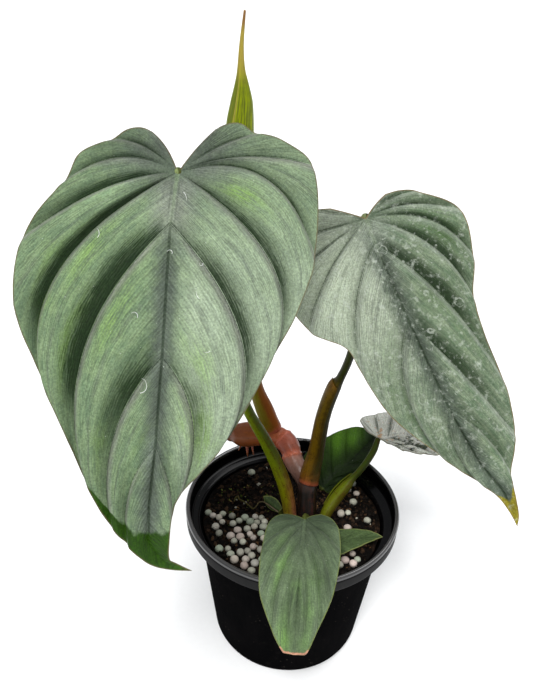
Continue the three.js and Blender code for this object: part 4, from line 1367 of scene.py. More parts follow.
@dataclass(frozen=True)
class RolledFinish:
    """Young rolled leaf: yellow-green, streaked, with a pale gold margin and a tan tip that ends brown.

    Attributes:
        name: name of the material.
        body, deep: the light and the dark of its streaks.
        margin: the edge that shows along the roll.
        tip, end: the drawn-out tip, and its very end.
    """

    name: str = "young_leaf"
    body: Colour = rgb(144, 158, 6)
    deep: Colour = rgb(98, 108, 30)
    margin: Colour = rgb(190, 168, 90)
    tip: Colour = rgb(186, 164, 72)
    end: Colour = rgb(146, 98, 60)

    def material(self) -> bpy.types.Material:
        """Builds the material: streaks along the roll, the margin at the start of the turn."""
        g = Graph(self.name)
        run, turn, t = g.triple("stalk_run")
        drop, _, _ = g.triple("stalk_side")
        streak = g.noise(1.0, 2.0, 0.6, g.join(turn * 60, run * 0.05, 0.0))
        blotch = g.noise(6.0, 3.0, 0.6)
        colour = g.mix(g.ease(streak + (blotch - 0.5) * 0.5, 0.3, 0.7), self.deep, self.body)
        colour = g.mix(g.ease(turn, 0.74, 0.98) * 0.75, colour, self.deep)
        edge = g.most(g.fade(turn, 0.0, 0.035), g.ease(drop, 0.1, 0.3))
        colour = g.mix(edge * 0.5, colour, self.margin)
        colour = g.mix(g.ease(t + (blotch - 0.5) * 0.05, 0.64, 0.86) * 0.85, colour, self.tip)
        colour = g.mix(g.ease(t + (blotch - 0.5) * 0.03, 0.93, 0.975) * 0.85, colour, self.end)
        colour = g.shade(colour, 0.82 + streak * 0.36)
        height = streak * 0.7 + blotch * 0.3
        return g.close(colour, 0.42 + (blotch - 0.5) * 0.2, height, 0.18, Specular_IOR_Level=0.12,
                       Subsurface_Weight=0.08, Subsurface_Radius=(1.0, 1.0, 0.2), Subsurface_Scale=0.001)


# The pot


@dataclass
class NurseryPot:
    """Thin-walled moulded pot: a revolved wall with a rounded rim, a deep lip and drain holes.

    Attributes:
        height: height of the rim.
        rim, body_top, base: radii of the rim, of the body under the lip and of the base.
        corner: height of the rounded corner at the base.
        wall, floor: their thickness.
        lip: height of the lip.
        sides: facets round it.
        hole, ring, holes: radius of a drain hole, of the ring that they lie on, and their number.
    """

    height: float = 89
    rim: float = 57.5
    body_top: float = 50.3
    base: float = 41.3
    corner: float = 4.4
    wall: float = 1.4
    floor: float = 2
    lip: float = 11
    sides: int = 192
    hole: float = 4
    ring: float = 29
    holes: int = 6

    def outline(self) -> Array:
        """The wall's closed section, as radius and height, from the base's middle round to the floor's."""
        foot = self.height - self.lip
        return np.array([
            [0, 0], [self.base - 4.6, 0], [self.base - 1.5, 0.9], [self.base, self.corner],
            [self.body_top, foot - 2], [self.body_top + 1.4, foot], [self.rim - 1.6, foot + 0.8],
            [self.rim - 0.4, foot + 2], [self.rim - 0.2, self.height - 3.6],
            [self.rim - 0.7, self.height - 3], [self.rim, self.height - 2.2],
            [self.rim, self.height - 1], [self.rim - 0.8, self.height],
            [self.rim - 2.2, self.height - 0.3], [self.rim - 2.6, self.height - 1.6],
            [self.rim - 2.7, foot + 3.4], [self.rim - 3.4, foot + 2.4],
            [self.body_top - 0.2, foot + 1.6], [self.body_top - self.wall, foot - 0.4],
            [self.base - self.wall, self.corner + 0.4], [self.base - self.wall - 2.4, self.floor],
            [0, self.floor],
        ], float)

    def rounded(self, outline: Array, radius: float = 0.9) -> Array:
        """Each corner becomes a quadratic arc that starts and ends near it on its two edges."""
        before, here, after = outline[:-2], outline[1:-1], outline[2:]
        back = np.linalg.norm(before - here, axis=1)[:, None]
        ahead = np.linalg.norm(after - here, axis=1)[:, None]
        start = here + (before - here) / back * np.minimum(radius, 0.42 * back)
        end = here + (after - here) / ahead * np.minimum(radius, 0.42 * ahead)
        s = np.linspace(0, 1, 5)[None, :, None]
        arcs = start[:, None] * (1 - s) ** 2 + here[:, None] * 2 * s * (1 - s) + end[:, None] * s**2
        return np.concatenate([outline[:1], arcs.reshape(-1, 2), outline[-1:]])

    def mesh(self) -> bpy.types.Mesh:
        """The section turned about the axis, split along its long walls, with the drain holes cut."""
        section = self.rounded(self.outline())
        gaps = np.linalg.norm(np.diff(section, axis=0), axis=1)
        cuts = np.maximum((gaps / 6).astype(int), 1)
        fine = np.concatenate([
            a + (b - a) * np.linspace(0, 1, n, endpoint=False)[:, None]
            for a, b, n in zip(section[:-1], section[1:], cuts)
        ] + [section[-1:]])
        turn = full_turn(self.sides)
        radius, level = fine[:, 0, None], fine[:, 1, None]
        uneven = 0.12 * np.sin(2 * turn + 0.6) * (radius / self.rim)
        reach = radius + uneven * (radius > 1)
        skin = Skin()
        skin.cover(skin.points(about_axis(reach, turn, level)), round_columns=True)
        return self.drilled(skin.mesh("pot_wall"))

    def drilled(self, mesh: bpy.types.Mesh) -> bpy.types.Mesh:
        """Cuts the drain holes with one boolean and keeps the result."""
        pot = linked("pot_wall", mesh)
        drill = Skin()
        reach = np.array([[0.0], [self.hole], [self.hole], [0.0]])
        level = np.array([[-3.0], [-3.0], [5.0], [5.0]])
        rod = about_axis(reach, full_turn(28), level)
        for angle in full_turn(self.holes):
            middle = about_axis(self.ring, angle, 0.0)
            drill.cover(drill.points(rod + middle), round_columns=True)
        cutter = linked("drill", drill.mesh("drill"))
        cut = pot.modifiers.new("holes", "BOOLEAN")
        cut.operation = "DIFFERENCE"
        cut.solver = "EXACT"
        cut.object = cutter
        graph = bpy.context.evaluated_depsgraph_get()
        made = bpy.data.meshes.new_from_object(pot.evaluated_get(graph))
        for item in (pot, cutter):
            bpy.data.objects.remove(item)
        made.polygons.foreach_set("use_smooth", np.ones(len(made.polygons), bool))
        made.set_sharp_from_angle(angle=math.radians(38))
        return made


@dataclass(frozen=True)
class PotFinish:
    """Black moulded plastic: a soft sheen, faint swirls, fine scuffs and settled dust.

    Attributes:
        name: name of the material.
        black, worn: the two blacks that it varies between.
        dust: the settled dust.
        edge: the top of the rim, where the light catches it.
        lip, bead: heights where the coat on the lip and on the rim begins, and where it is full.
    """

    name: str = "pot_plastic"
    black: Colour = rgb(4, 4, 5)
    worn: Colour = rgb(10, 9, 10)
    dust: Colour = rgb(104, 96, 88)
    edge: Colour = rgb(64, 62, 61)
    lip: Pair = (77.0, 79.0)
    bead: Pair = (86.4, 87.6)

    def material(self) -> bpy.types.Material:
        """Builds the material from the point on the pot, with a coat on the rim and lip."""
        g = Graph(self.name)
        broad = g.noise(30.0, 3.0, 0.6)
        drag = g.noise(3.0, 3.0, 0.6, g.stretched(1000, 1000, 60))
        grain = g.noise(0.6, 2.0, 0.6)
        parts = g.node("ShaderNodeSeparateXYZ", inputs={0: g.place()})
        z = g.link(parts, 2) * 1000
        coat = g.ease(z, *self.lip, 0.012, 0.16) + g.ease(z, *self.bead, 0.0, 0.8)
        colour = g.mix(g.ease(broad + (drag - 0.5) * 0.6, 0.35, 0.75), self.black, self.worn)
        colour = g.mix(g.ease(z, 88.0, 88.9) * g.ease(broad, 0.2, 0.6, 0.5, 1.0), colour, self.edge)
        speck = g.fade(g.cells(2.3), 0.09, 0.2) * g.ease(g.noise(14.0, 3.0, 0.6), 0.5, 0.64)
        colour = g.mix(speck * 0.4, colour, self.dust)
        colour = g.mix(g.ease(g.noise(5.0, 4.0, 0.7), 0.55, 0.8) * 0.03, colour, self.dust)
        rough = g.ease(broad, 0.3, 0.7, 0.42, 0.56) + (grain - 0.5) * 0.16
        height = grain * 0.6 + drag * 0.4
        return g.close(colour, rough, height, 0.06, Specular_IOR_Level=0.0, Coat_Weight=coat,
                       Coat_Roughness=0.15, Coat_IOR=1.9)


# The soil and what lies on it


@dataclass(frozen=True)
class PrillField:
    """A field of feed prills: its middle, its half widths and how many lie in it."""

    middle: Pair
    half: Pair
    count: int


@dataclass
class SoilBed:
    """The potting soil, and the places of the prills on it.

    Attributes:
        stems: the feet of the stems that stand in it.
        level, relief: height of its surface, and of the low mounds on it.
        prill: middle radius of a prill.
        seed: picks the places of the prills.
        gap: how far it lies from the pot.
        pot: the pot that holds it.
        fields: where the prills lie.
    """

    stems: tuple[Station, ...]
    level: float = 77.5
    relief: float = 0.9
    prill: float = 1.9
    seed: int = 20261
    gap: float = 0.3
    pot: NurseryPot = field(default_factory=NurseryPot)
    fields: tuple[PrillField, ...] = (
        PrillField((-23, -21), (9.5, 21), 34),
        PrillField((-41, -18), (5, 17), 8),
        PrillField((27, -1), (5, 8), 4),
        PrillField((41.5, 0.5), (0.5, 0.5), 1),
        PrillField((31, -32), (6, 9), 6),
        PrillField((2, 33), (32, 9), 5),
        PrillField((34, 20), (9, 12), 3),
    )

    def height(self, x: Array, y: Array) -> Array:
        """The solid's surface: its level plus two pairs of crossed waves."""
        broad = np.sin(x / 6.1 + 0.8) * np.cos(y / 7.3)
        small = np.sin((x + y) / 4.3) * np.cos((x - y) / 5.9 + 1)
        return self.level + self.relief * (0.6 * broad + 0.42 * small)

    def radius(self, z: float) -> float:
        """Radius of the soil at a height, just clear of the pot's wall."""
        foot = self.pot.height - self.pot.lip
        slope = (self.pot.body_top - self.pot.base) / (foot - self.pot.corner - 0.8)
        return self.pot.base - self.pot.wall - 1.6 * self.gap + slope * (z - self.pot.corner - 0.4)

    def prills(self) -> list[tuple[float, float, float]]:
        """Places and sizes of the prills, drawn as the solid draws them."""
        draw = randoms_from(self.seed)
        inside = self.radius(self.level) - self.prill - 0.4
        kept: list[tuple[float, float, float]] = []
        for area in self.fields:
            placed = 0
            tries = 0
            while tries < 60 * area.count and placed < area.count:
                tries += 1
                x = area.middle[0] + area.half[0] * (2 * draw() - 1)
                y = area.middle[1] + area.half[1] * (2 * draw() - 1)
                size = self.prill * (0.85 + 0.3 * draw())
                apart = all(math.hypot(px - x, py - y) > 0.92 * (ps + size) for px, py, ps in kept)
                free = all(math.hypot(s.at[0] - x, s.at[1] - y) > s.radius + size + 1 for s in self.stems)
                if math.hypot(x, y) < inside and apart and free:
                    kept.append((x, y, size))
                    placed += 1
        return kept

    def bed_mesh(self) -> bpy.types.Mesh:
        """Rings from the middle of the top out to the wall, down it, and in along the base.

        The top is the solid's surface plus crumbly noise of three sizes; the wall and base are plain.
        """
        turn = full_turn(260)
        top = self.radius(self.level - self.relief)
        share = np.linspace(0, 1, 100)[:, None] ** 0.8
        x, y = share * top * np.cos(turn), share * top * np.sin(turn)
        flat = np.stack([x, y, 0 * x], axis=-1)
        crumbs = 0.85 * ripple(flat, 5.5, 11, 3) + 0.35 * np.abs(ripple(flat, 2.1, 12, 2))
        z = self.height(x, y) + crumbs * ease(share, 1.0, 0.96) * ease(share, 0.0, 0.02)
        surface = np.stack([x, y, z], axis=-1)
        rings = [surface]
        for radius, level in (
            (self.radius(40), 40.0),
            (self.radius(self.pot.corner + 1), self.pot.corner + 1),
            (self.radius(self.pot.corner) - 4, self.pot.floor + self.gap),
            (0.0, self.pot.floor + self.gap),
        ):
            rings.append(about_axis(radius, turn, level)[None])
        skin = Skin()
        skin.cover(skin.points(np.concatenate(rings)), round_columns=True)
        return skin.mesh("soil_bed")


def ball(levels: int) -> tuple[Array, Array]:
    """A unit sphere of triangles: an icosahedron whose faces are split in four a number of times."""
    shape = bmesh.new()
    bmesh.ops.create_icosphere(shape, subdivisions=levels, radius=1.0)
    points = np.array([v.co[:] for v in shape.verts])
    faces = np.array([[v.index for v in f.verts] for f in shape.faces])
    shape.free()
    return points, faces


def random_turns(random: np.random.Generator, count: int) -> Array:
    """Random rotation matrices from unit quaternions, shape (count, 3, 3)."""
    q = unit(random.normal(size=(count, 4)))
    w, x, y, z = q.T
    return np.stack([
        np.stack([1 - 2 * (y * y + z * z), 2 * (x * y - w * z), 2 * (x * z + w * y)], axis=-1),
        np.stack([2 * (x * y + w * z), 1 - 2 * (x * x + z * z), 2 * (y * z - w * x)], axis=-1),
        np.stack([2 * (x * z - w * y), 2 * (y * z + w * x), 1 - 2 * (x * x + y * y)], axis=-1),
    ], axis=1)


def strew(name: str, shape: Array, faces: Array, bed: SoilBed, places: Array,
          random: np.random.Generator) -> bpy.types.Mesh:
    """Sets bits on the soil, each with two random numbers of its own and the height on it.

    The height runs from about 0 at the foot of a bit to about 1 at its top: its own level, over the
    largest of the bit, plus one, halved. The finish darkens each bit towards its foot by it, as painted
    shade.

    Args:
        name: name of the mesh.
        shape: points of each bit about its middle, shape (count, points, 3).
        faces: the triangles of one bit.
        bed: the soil.
        places: x, y and how far the middle stands over the soil, for each bit.
        random: gives the numbers.

    Returns:
        The mesh.
    """
    x, y, lift = places.T
    centre = np.stack([x, y, bed.height(x, y) + lift], axis=-1)[:, None]
    tint = np.broadcast_to(random.uniform(0, 1, (len(shape), 1, 3)), shape.shape).copy()
    level = shape[..., 2]
    tint[..., 2] = (level / np.abs(level).max(axis=1, keepdims=True) + 1) / 2
    skin = Skin()
    skin.copies(shape + centre, faces, bit_tint=tint)
    return skin.mesh(name)


class Litter(Enum):
    """What lies loose on the soil."""

    CRUMB = "soil_crumbs"
    BARK = "bark_chips"
    PERLITE = "perlite_bits"
    MOSS = "moss_flecks"


@dataclass
class Strewn:
    """Many small bits of one kind on the soil, in one mesh.

    Attributes:
        kind: what they are.
        bed: the soil that they lie on.
        count: how many.
        size: smallest and largest radius.
        stretch: lengths along the bit's own three axes.
        rough: how angular it is.
        seed: picks the places.
        area: middle and half widths of the stretch of soil, or none for all of it.
        sunk: height of its middle over the soil, as a share of its radius.
    """

    kind: Litter
    bed: SoilBed
    count: int
    size: Pair
    stretch: Triple
    rough: float
    seed: int
    area: tuple[Pair, Pair] | None = None
    sunk: float = 0.2

    def mesh(self) -> bpy.types.Mesh:
        """Copies of a small ball, each stretched, made uneven, turned and set on the soil."""
        random = np.random.default_rng(self.seed)
        points, faces = ball(1)
        limit = self.bed.radius(self.bed.level) - 1.5
        if self.area:
            middle, half = self.area
            spot = np.array(middle) + random.uniform(-1, 1, (self.count * 2, 2)) * half
        else:
            reach = limit * np.sqrt(random.uniform(0, 1, self.count * 2))
            spot = about_axis(reach, random.uniform(0, TURN, self.count * 2), 0.0)[:, :2]
        spot = spot[np.hypot(spot[:, 0], spot[:, 1]) < limit][: self.count]
        count = len(spot)
        size = random.uniform(*self.size, count)[:, None, None]
        shape = points[None] * (1 + self.rough * random.uniform(-1, 1, (count, len(points), 1)))
        shape = shape * np.array(self.stretch) * random.uniform(0.7, 1.3, (count, 1, 3)) * size
        shape = np.einsum("nij,npj->npi", random_turns(random, count), shape)
        places = np.column_stack([spot, size[:, 0, 0] * self.sunk + 0.2])
        mesh = strew(self.kind.value, shape, faces, self.bed, places, random)
        mesh.polygons.foreach_set("use_smooth", np.zeros(len(mesh.polygons), bool))
        return mesh


@dataclass
class Prills:
    """The feed prills: round, slightly flattened beads at the solid's own places."""

    bed: SoilBed

    def mesh(self) -> bpy.types.Mesh:
        """Copies of a ball, each slightly flattened and uneven, set on the soil."""
        random = np.random.default_rng(5)
        points, faces = ball(3)
        spots = np.array(self.bed.prills())
        count = len(spots)
        seeds = random.uniform(0, 90, (count, 1, 3))
        lumps = 1 + 0.05 * ripple(points[None] * 3 + seeds, 6, 2, 2)[..., None]
        shape = points[None] * lumps * (1.0, 1.0, 0.88) * random.uniform(0.95, 1.08, (count, 1, 3))
        shape = shape * spots[:, 2, None, None] * 1.05
        places = np.column_stack([spots[:, :2], 0.3 * spots[:, 2] + 0.55])
        return strew("feed_prills", shape, faces, self.bed, places, random)


@dataclass(frozen=True)
class BitFinish:
    """Small loose bits: each takes its own tint between stops, with a speckled, rough surface, and painted
    shade towards its foot.

    Attributes:
        name: name of the material.
        stops: places from 0 to 1 with colours, read by each bit's own number.
        speckle: colour of the speckles.
        speckle_share: how strong they are.
        rough: roughness.
        depth: height of the relief.
    """

    name: str
    stops: Stops
    speckle: Colour
    speckle_share: float
    rough: float
    depth: float

    def material(self) -> bpy.types.Material:
        """Builds the material from each bit's tint and the point on it."""
        g = Graph(self.name)
        tint, shade, level = g.triple("bit_tint")
        grain = g.noise(0.5, 3.0, 0.65)
        blotch = g.noise(1.6, 2.0, 0.5)
        colour = g.ramp(tint, self.stops)
        colour = g.shade(colour, 0.72 + shade * 0.4 + (blotch - 0.5) * 0.3)
        dots = g.ease(grain, 0.58, 0.7)
        colour = g.mix(dots * self.speckle_share, colour, self.speckle)
        # Darker towards the foot of each bit and a little lighter at its top: painted shade and light.
        colour = g.shade(colour, g.ease(level + (blotch - 0.5) * 0.3, 0.25, 0.85, 0.35, 1.1))
        return g.close(colour, self.rough + (grain - 0.5) * 0.2, grain * 0.6 + blotch * 0.4, self.depth,
                       Specular_IOR_Level=0.12)


@dataclass(frozen=True)
class SoilFinish:
    """Moist dark soil: near black, with brown fibres and a scatter of tan grains.

    Attributes:
        name: name of the material.
        dark, brown: the two tones of its clumps.
        grain: the tan grains.
    """

    name: str = "soil"
    dark: Colour = rgb(12, 9, 7)
    brown: Colour = rgb(66, 46, 32)
    grain: Colour = rgb(150, 118, 80)

    def material(self) -> bpy.types.Material:
        """Builds the material from the point on the soil."""
        g = Graph(self.name)
        clump = g.noise(4.0, 4.0, 0.65)
        fibre = g.noise(0.9, 3.0, 0.7)
        colour = g.mix(g.ease(clump, 0.48, 0.8), self.dark, self.brown)
        colour = g.shade(colour, 0.4 + fibre)
        dots = g.fade(g.cells(2.2), 0.06, 0.11) * g.ease(g.noise(7.0, 2.0), 0.54, 0.62)
        colour = g.mix(dots * 0.8, colour, self.grain)
        return g.close(colour, 0.72 + (fibre - 0.5) * 0.4, clump * 0.6 + fibre * 0.4, 0.8,
                       Specular_IOR_Level=0.06)


# The plant's own forms

LEFT_ROWS = (
    Row(0, (0, 0), ((-8.2, -4.2), (-13.9, -9.8)), ((-9, 5.9), (-16.4, 12.2))),
    Row(0.35, (0, 0), ((-8.6, -6.7), (-15, -14)), ((-10, 7.9), (-18.7, 16.8))),
    Row(0.7, (0, 0), ((-8.8, -9.6), (-13.9, -18.8)), ((-10.4, 10.6), (-19, 21.4))),
    Row(1, (0, 0), ((-8.5, -12.2), (-10.3, -23.4)), ((-9.9, 13), (-16.2, 26.5))),
    Row(1.5, (0, 0), ((-7.2, -16.4), (-4.8, -34)), ((-9.2, 18), (-14.5, 35.5))),
    Row(2, (0, 0), ((-4.2, -19.6), (4.8, -38.6)), ((-7.4, 22.5), (-6.6, 47.2))),
    Row(3, (0, 0), ((7, -24.5), (25, -52)), ((-0.4, 30), (26, 49.4))),
    Row(3.5, (0, 0), ((20.5, -33), (48.5, -53.4)), ((14.5, 34), (46, 43.6))),
    Row(4, (0, 0), ((35.5, -38.3), (73, -43)), ((29, 33.5), (61, 36.5))),
    Row(4.5, (8, -0.7), ((48.5, -34.5), (91, -34.2)), ((43, 30), (77, 29))),
    Row(5, (18, -1.5), ((62, -28.5), (108, -27)), ((57, 25), (93, 20.5))),
    Row(6, (63, -2), ((92, -17.6), (125, -17.5)), ((85, 9.5), (111, 6.8))),
    Row(7, (94, -3), ((111, -11.5), (131, -12)), ((108, 2.2), (120, 3.8))),
    Row(7.4, (117, -4.5), ((126, -8), (136, -7)), ((123, 0), (129, 3.2))),
    Row(7.7, (131, -4), ((135.5, -3.6), (139.8, -2)), ((134, 0.3), (136.6, 3.4))),
    Row(7.85, (139.4, 3.8), ((140.4, 3.7), (141.4, 3.6)), ((139, 4.6), (138.3, 5.3))),
    Row(8, (141.6, 11.5)),
)

RIGHT_ROWS = (
    Row(0, (0, 0), ((-4.3, -4.6), (-9.3, -10.6)), ((-2.8, 5.2), (-4.5, 10.8))),
    Row(0.5, (0, 0), ((-5.4, -6.9), (-10.7, -14.2)), ((-2.8, 7.8), (-3.2, 16.2))),
    Row(1, (0, 0), ((-6, -9), (-11.5, -18)), ((-2, 10.8), (0.2, 22))),
    Row(2, (0, 0), ((-2.5, -16), (-5, -32)), ((3.2, 17), (14.6, 34.3))),
    Row(3, (0, 0), ((4.5, -21.5), (11, -43)), ((12, 21.5), (33, 31))),
    Row(4, (0, 0), ((14, -23), (32, -41.5)), ((21, 17.8), (47, 24))),
    Row(4.6, (5, -0.5), ((23, -19.5), (44, -30)), ((31, 15.5), (61, 21.5))),
    Row(5, (10, -1), ((30, -18.5), (56, -29)), ((42, 13.5), (81, 20.5))),
    Row(5.5, (24, -1.8), ((49, -18), (78, -25.7)), ((57.5, 10.8), (93, 18.6))),
    Row(6, (42, -2.5), ((68, -15.5), (99, -15.6)), ((72, 7.5), (104, 15.6))),
    Row(7, (80, -3.5), ((98, -8.5), (116, -6)), ((100, 5), (119, 7))),
    Row(7.5, (107, -2.2), ((116, -2.4), (125, -1.6)), ((117, 3.4), (130, 4.4))),
    Row(7.8, (125, 1.4), ((130, 0.7), (135, -0.2)), ((131, 2.6), (138, 2.6))),
    Row(8, (143, 0)),
)

FRONT_ROWS = (
    Row(0, (0, 0), ((-1.8, -4.8), (-2.8, -9.5)), ((-3.6, 4), (-5.8, 8.5))),
    Row(1, (0, 0), ((0.5, -8), (1, -16.8)), ((-0.8, 8), (-0.8, 16))),
    Row(2, (0, 0), ((8.5, -10.8), (18, -19.7)), ((8, 10.4), (17, 19))),
    Row(3, (3, 0), ((21, -10.4), (42, -18.5)), ((20, 9.6), (41, 16.4))),
    Row(4, (12, 0), ((36, -9), (59.5, -10.2)), ((34.5, 8.2), (58, 10))),
    Row(4.7, (21, -0.2), ((44, -5.6), (66.6, -5)), ((43, 5.2), (66.2, 6.4))),
    Row(5, (27, -0.3), ((47, -3.6), (67.1, -2.8)), ((46.5, 3.9), (67, 3.6))),
    Row(6, (67.3, 0.4)),
)

LOW_ROWS = (
    Row(0, (0, 0), ((-1.2, -2.6), (-2, -5.4)), ((-1, 2), (-1.6, 4))),
    Row(1, (0, -0.3), ((2.6, -4.7), (5, -8.7)), ((3, 2.6), (6, 5))),
    Row(2, (3, -0.9), ((9, -5.2), (14.5, -8.5)), ((10, 2.2), (16, 4.7))),
    Row(3, (13, -1.6), ((19, -4), (24, -5)), ((19.5, 1.4), (25.5, 3.9))),
    Row(4, (23, -1.2), ((27, -2), (30.3, -2)), ((27.5, 0.9), (31, 2.4))),
    Row(5, (34.8, 0.2)),
)

SIDE_ROWS = (
    Row(0, (0, 0), ((1.5, -2), (3.2, -4.2)), ((-3.2, 3.5), (-5, 8))),
    Row(1, (0, 0), ((5, -4.6), (10, -10)), ((-2.5, 8.5), (-3, 15.5))),
    Row(2, (0, 0), ((11, -7.2), (20, -13.5)), ((4, 9.5), (7.5, 17.6))),
    Row(3, (6, 0), ((20, -7.8), (32, -14.5)), ((14, 10), (20, 18))),
    Row(4, (20, 0), ((33, -6.5), (44, -10.5)), ((30, 9), (38, 14))),
    Row(5, (38, 0), ((45, -3), (51.5, -5)), ((45, 4), (51, 6.5))),
    Row(6, (58.8, 0)),
)

REAR_ROWS = (
    Row(0, (0, 0), ((-0.4, -2), (0, -4)), ((-1, 5.5), (-1.5, 11))),
    Row(1, (0, 0), ((3, -2.9), (6.5, -5.6)), ((2, 10.2), (4, 20))),
    Row(2, (0, 0), ((8, -4), (14.5, -7.6)), ((8, 11.4), (14, 21.4))),
    Row(3, (7, 0), ((16, -4.8), (24, -8.8)), ((17, 10.6), (25.5, 18.9))),
    Row(4, (18, 0), ((26, -4.6), (33, -7.6)), ((27, 8.6), (35.7, 14.6))),
    Row(5, (31, 0), ((36, -2.5), (39.5, -4.2)), ((36.7, 5), (41.9, 9.2))),
    Row(6, (44.6, 0)),
)

BUD_ROWS = (
    Row(0, (0, 0), ((-0.2, -0.9), (-0.1, -1.8)), ((-0.2, 0.9), (-0.1, 1.8))),
    Row(1, (0, 0), ((2.4, -1.8), (4.6, -3.3)), ((2.4, 1.8), (4.6, 3.3))),
    Row(2, (4, 0), ((6.6, -1.5), (9, -2.5)), ((6.6, 1.5), (9, 2.5))),
    Row(3, (12, 0)),
)

SOIL_FOOT = 67.5
FOOT_RISE = 5.5


def stations(*rows: tuple[float, float, float, float]) -> tuple[Station, ...]:
    """Stations from rows of x, y, z and radius."""
    return tuple(Station((x, y, z), radius) for x, y, z, radius in rows)


def planted(x: float, y: float, radius: float) -> tuple[Station, ...]:
    """The foot of a stem: two stations straight above each other, down in the soil."""
    return stations((x, y, SOIL_FOOT, radius), (x, y, SOIL_FOOT + FOOT_RISE, radius))


# Middle lines: x, y, z and radius. The stalks go on to the seats of their blades.
LEFT_LINE = planted(-0.6, -3.6, 3.4) + stations(
    (-0.8, -3.6, 82, 3.5), (-4.4, 0.5, 98, 3.8), (-10, 3.4, 112, 3.6), (-15.7, 2.6, 126, 3.2),
    (-25.4, -5, 152, 2.6), (-34, -22, 195, 2.3), (-42.6, -44, 250, 2.2), (-46.2, -54.8, 279, 2.3),
)
RIGHT_LINE = stations(
    (8, 5.4, 98.6, 5.4), (9.2, 8, 106, 5), (10.4, 9.2, 112, 4.5), (11.2, 8.9, 120, 4),
    (13, 4.5, 144, 3.6), (16.8, -4, 168, 3.3), (18.8, -6.9, 174.5, 2.1), (22.4, -17, 197, 1.9),
    (23.2, -27, 235, 2), (21.4, -30.6, 258, 2),
)
NEW_LINE = stations(
    (-13.6, 29, 115, 5.2), (-18.2, 30, 126, 4.9), (-24.1, 31, 142, 3.8), (-29.6, 30, 178, 2.9),
    (-32.6, 28, 208, 2.5), (-33.2, 27.4, 214, 1.4),
)
FRONT_LINE = planted(8.2, -9.8, 2) + stations(
    (8.2, -9.8, 82, 2), (7.6, -12.6, 90, 1.8), (7, -17.2, 94.4, 1.5),
)
LOW_LINE = planted(12, -18.5, 1.5) + stations((12, -18.5, 79.5, 1.5), (11.6, -20.6, 82.2, 1.3))
SIDE_LINE = planted(18.6, 0.6, 3) + stations(
    (18.6, 0.8, 80.5, 3.1), (23, 6, 87, 3.4), (28.7, 10, 94, 3), (32.2, 12, 98.4, 1.9),
    (37, 13.8, 105, 1.8), (42, 17, 114, 1.8),
)
REAR_LINE = planted(16.4, 24.6, 1.7) + stations((16.4, 24.4, 79.6, 1.7))
BUD_LINE = planted(-6.2, 2.4, 1.2) + stations((-6.2, 2.4, 78.4, 1.2))
STEM_LINE = planted(8.3, -0.6, 5.2) + stations(
    (8.2, -0.6, 78, 5.2), (7.6, 3.4, 88, 5), (7.2, 7, 95.5, 5.1), (4.2, 11.4, 98.8, 5),
    (-0.8, 17.2, 103.4, 5.3), (-3, 21.8, 107.2, 5.6), (-5, 24.4, 109.2, 5.9), (-8.5, 27, 110.6, 5.7),
    (-14, 29, 110.8, 5.9), (-21, 30, 109.8, 6.2), (-28, 30.8, 108.6, 7), (-33.5, 31.2, 107.6, 6),
    (-37, 31.4, 106.6, 3.6),
)
ROLLED_LINE = stations(
    (-32.8, 27.9, 210.3, 2.6), (-34, 26.4, 221, 3.3), (-34.8, 25, 240, 6), (-34.6, 24.6, 264, 7.4),
    (-34, 24.2, 284, 6.6), (-33.4, 24, 294, 5.3), (-33.4, 23.8, 301, 3.6), (-33.7, 23.6, 308, 2),
    (-33.6, 23.4, 317, 1.2), (-32.4, 23.2, 330.5, 0.6),
)
WISP_LINE = stations(
    (-32.4, 6.6, 79.6, 0.3), (-31.9, 9.5, 79.9, 0.42), (-30.6, 11, 80, 0.4), (-29.9, 8.9, 79.9, 0.5),
    (-27, 7.2, 79.7, 0.45), (-23.9, 4.7, 79.4, 0.42), (-21.5, 2.6, 79.3, 0.4), (-19.8, 4, 79.8, 0.4),
    (-18.8, 5.6, 81, 0.38), (-16.6, 4.4, 83.2, 0.34), (-14.2, 0.6, 85.6, 0.3), (-12, -2, 86.4, 0.3),
    (-9.7, -3.6, 86, 0.28), (-7.6, -4.4, 85, 0.32),
)

# Patches of tint, by place on the blade; a dim patch is painted shade, and painted light where its dim is
# below zero

LEFT_PATCHES = (
    Patch(59.3, -33.5, 16, 3.5, glow=0.8), Patch(46.3, -42.9, 12, 3, glow=0.7),
    Patch(84.5, 8.4, 11, 4, glow=0.75), Patch(91.4, 13.9, 12, 4, glow=0.8),
    Patch(6.6, 24.5, 9, 4, glow=0.75), Patch(5, 18.2, 7, 3, glow=0.5),
    Patch(55, -20, 11, 4, glow=0.55), Patch(88.6, -5, 9, 3, glow=0.5),
    Patch(93.1, -22, 12, 3, glow=0.45), Patch(63.6, 10.9, 12, 5, glow=0.5),
    Patch(30, -40, 14, 4, glow=0.5), Patch(26, -26, 10, 3, glow=0.6),
    Patch(-8.1, -6.6, 7, 6, dim=0.5), Patch(-11.4, 8.7, 8, 5, dim=0.55),
    Patch(-10.4, -17.2, 7, 4, dim=0.4), Patch(-10.6, 31.6, 9, 5, dim=0.4),
    Patch(2.8, 43, 9, 5, dim=0.25), Patch(-15, 17, 9, 6, dim=0.45),
    Patch(141, 10.6, 4, 4, scar=1.2), Patch(15, -5, 9, 5, dim=-0.65),
    Patch(97.6, -8, 12, 5, dim=-0.9), Patch(8.3, -22.7, 11, 4, dim=-0.8),
    Patch(44, -17, 10, 4, glow=0.4), Patch(37, -32, 12, 3, glow=0.4),
    Patch(22.7, 12.2, 10, 4, dim=-0.4),
)

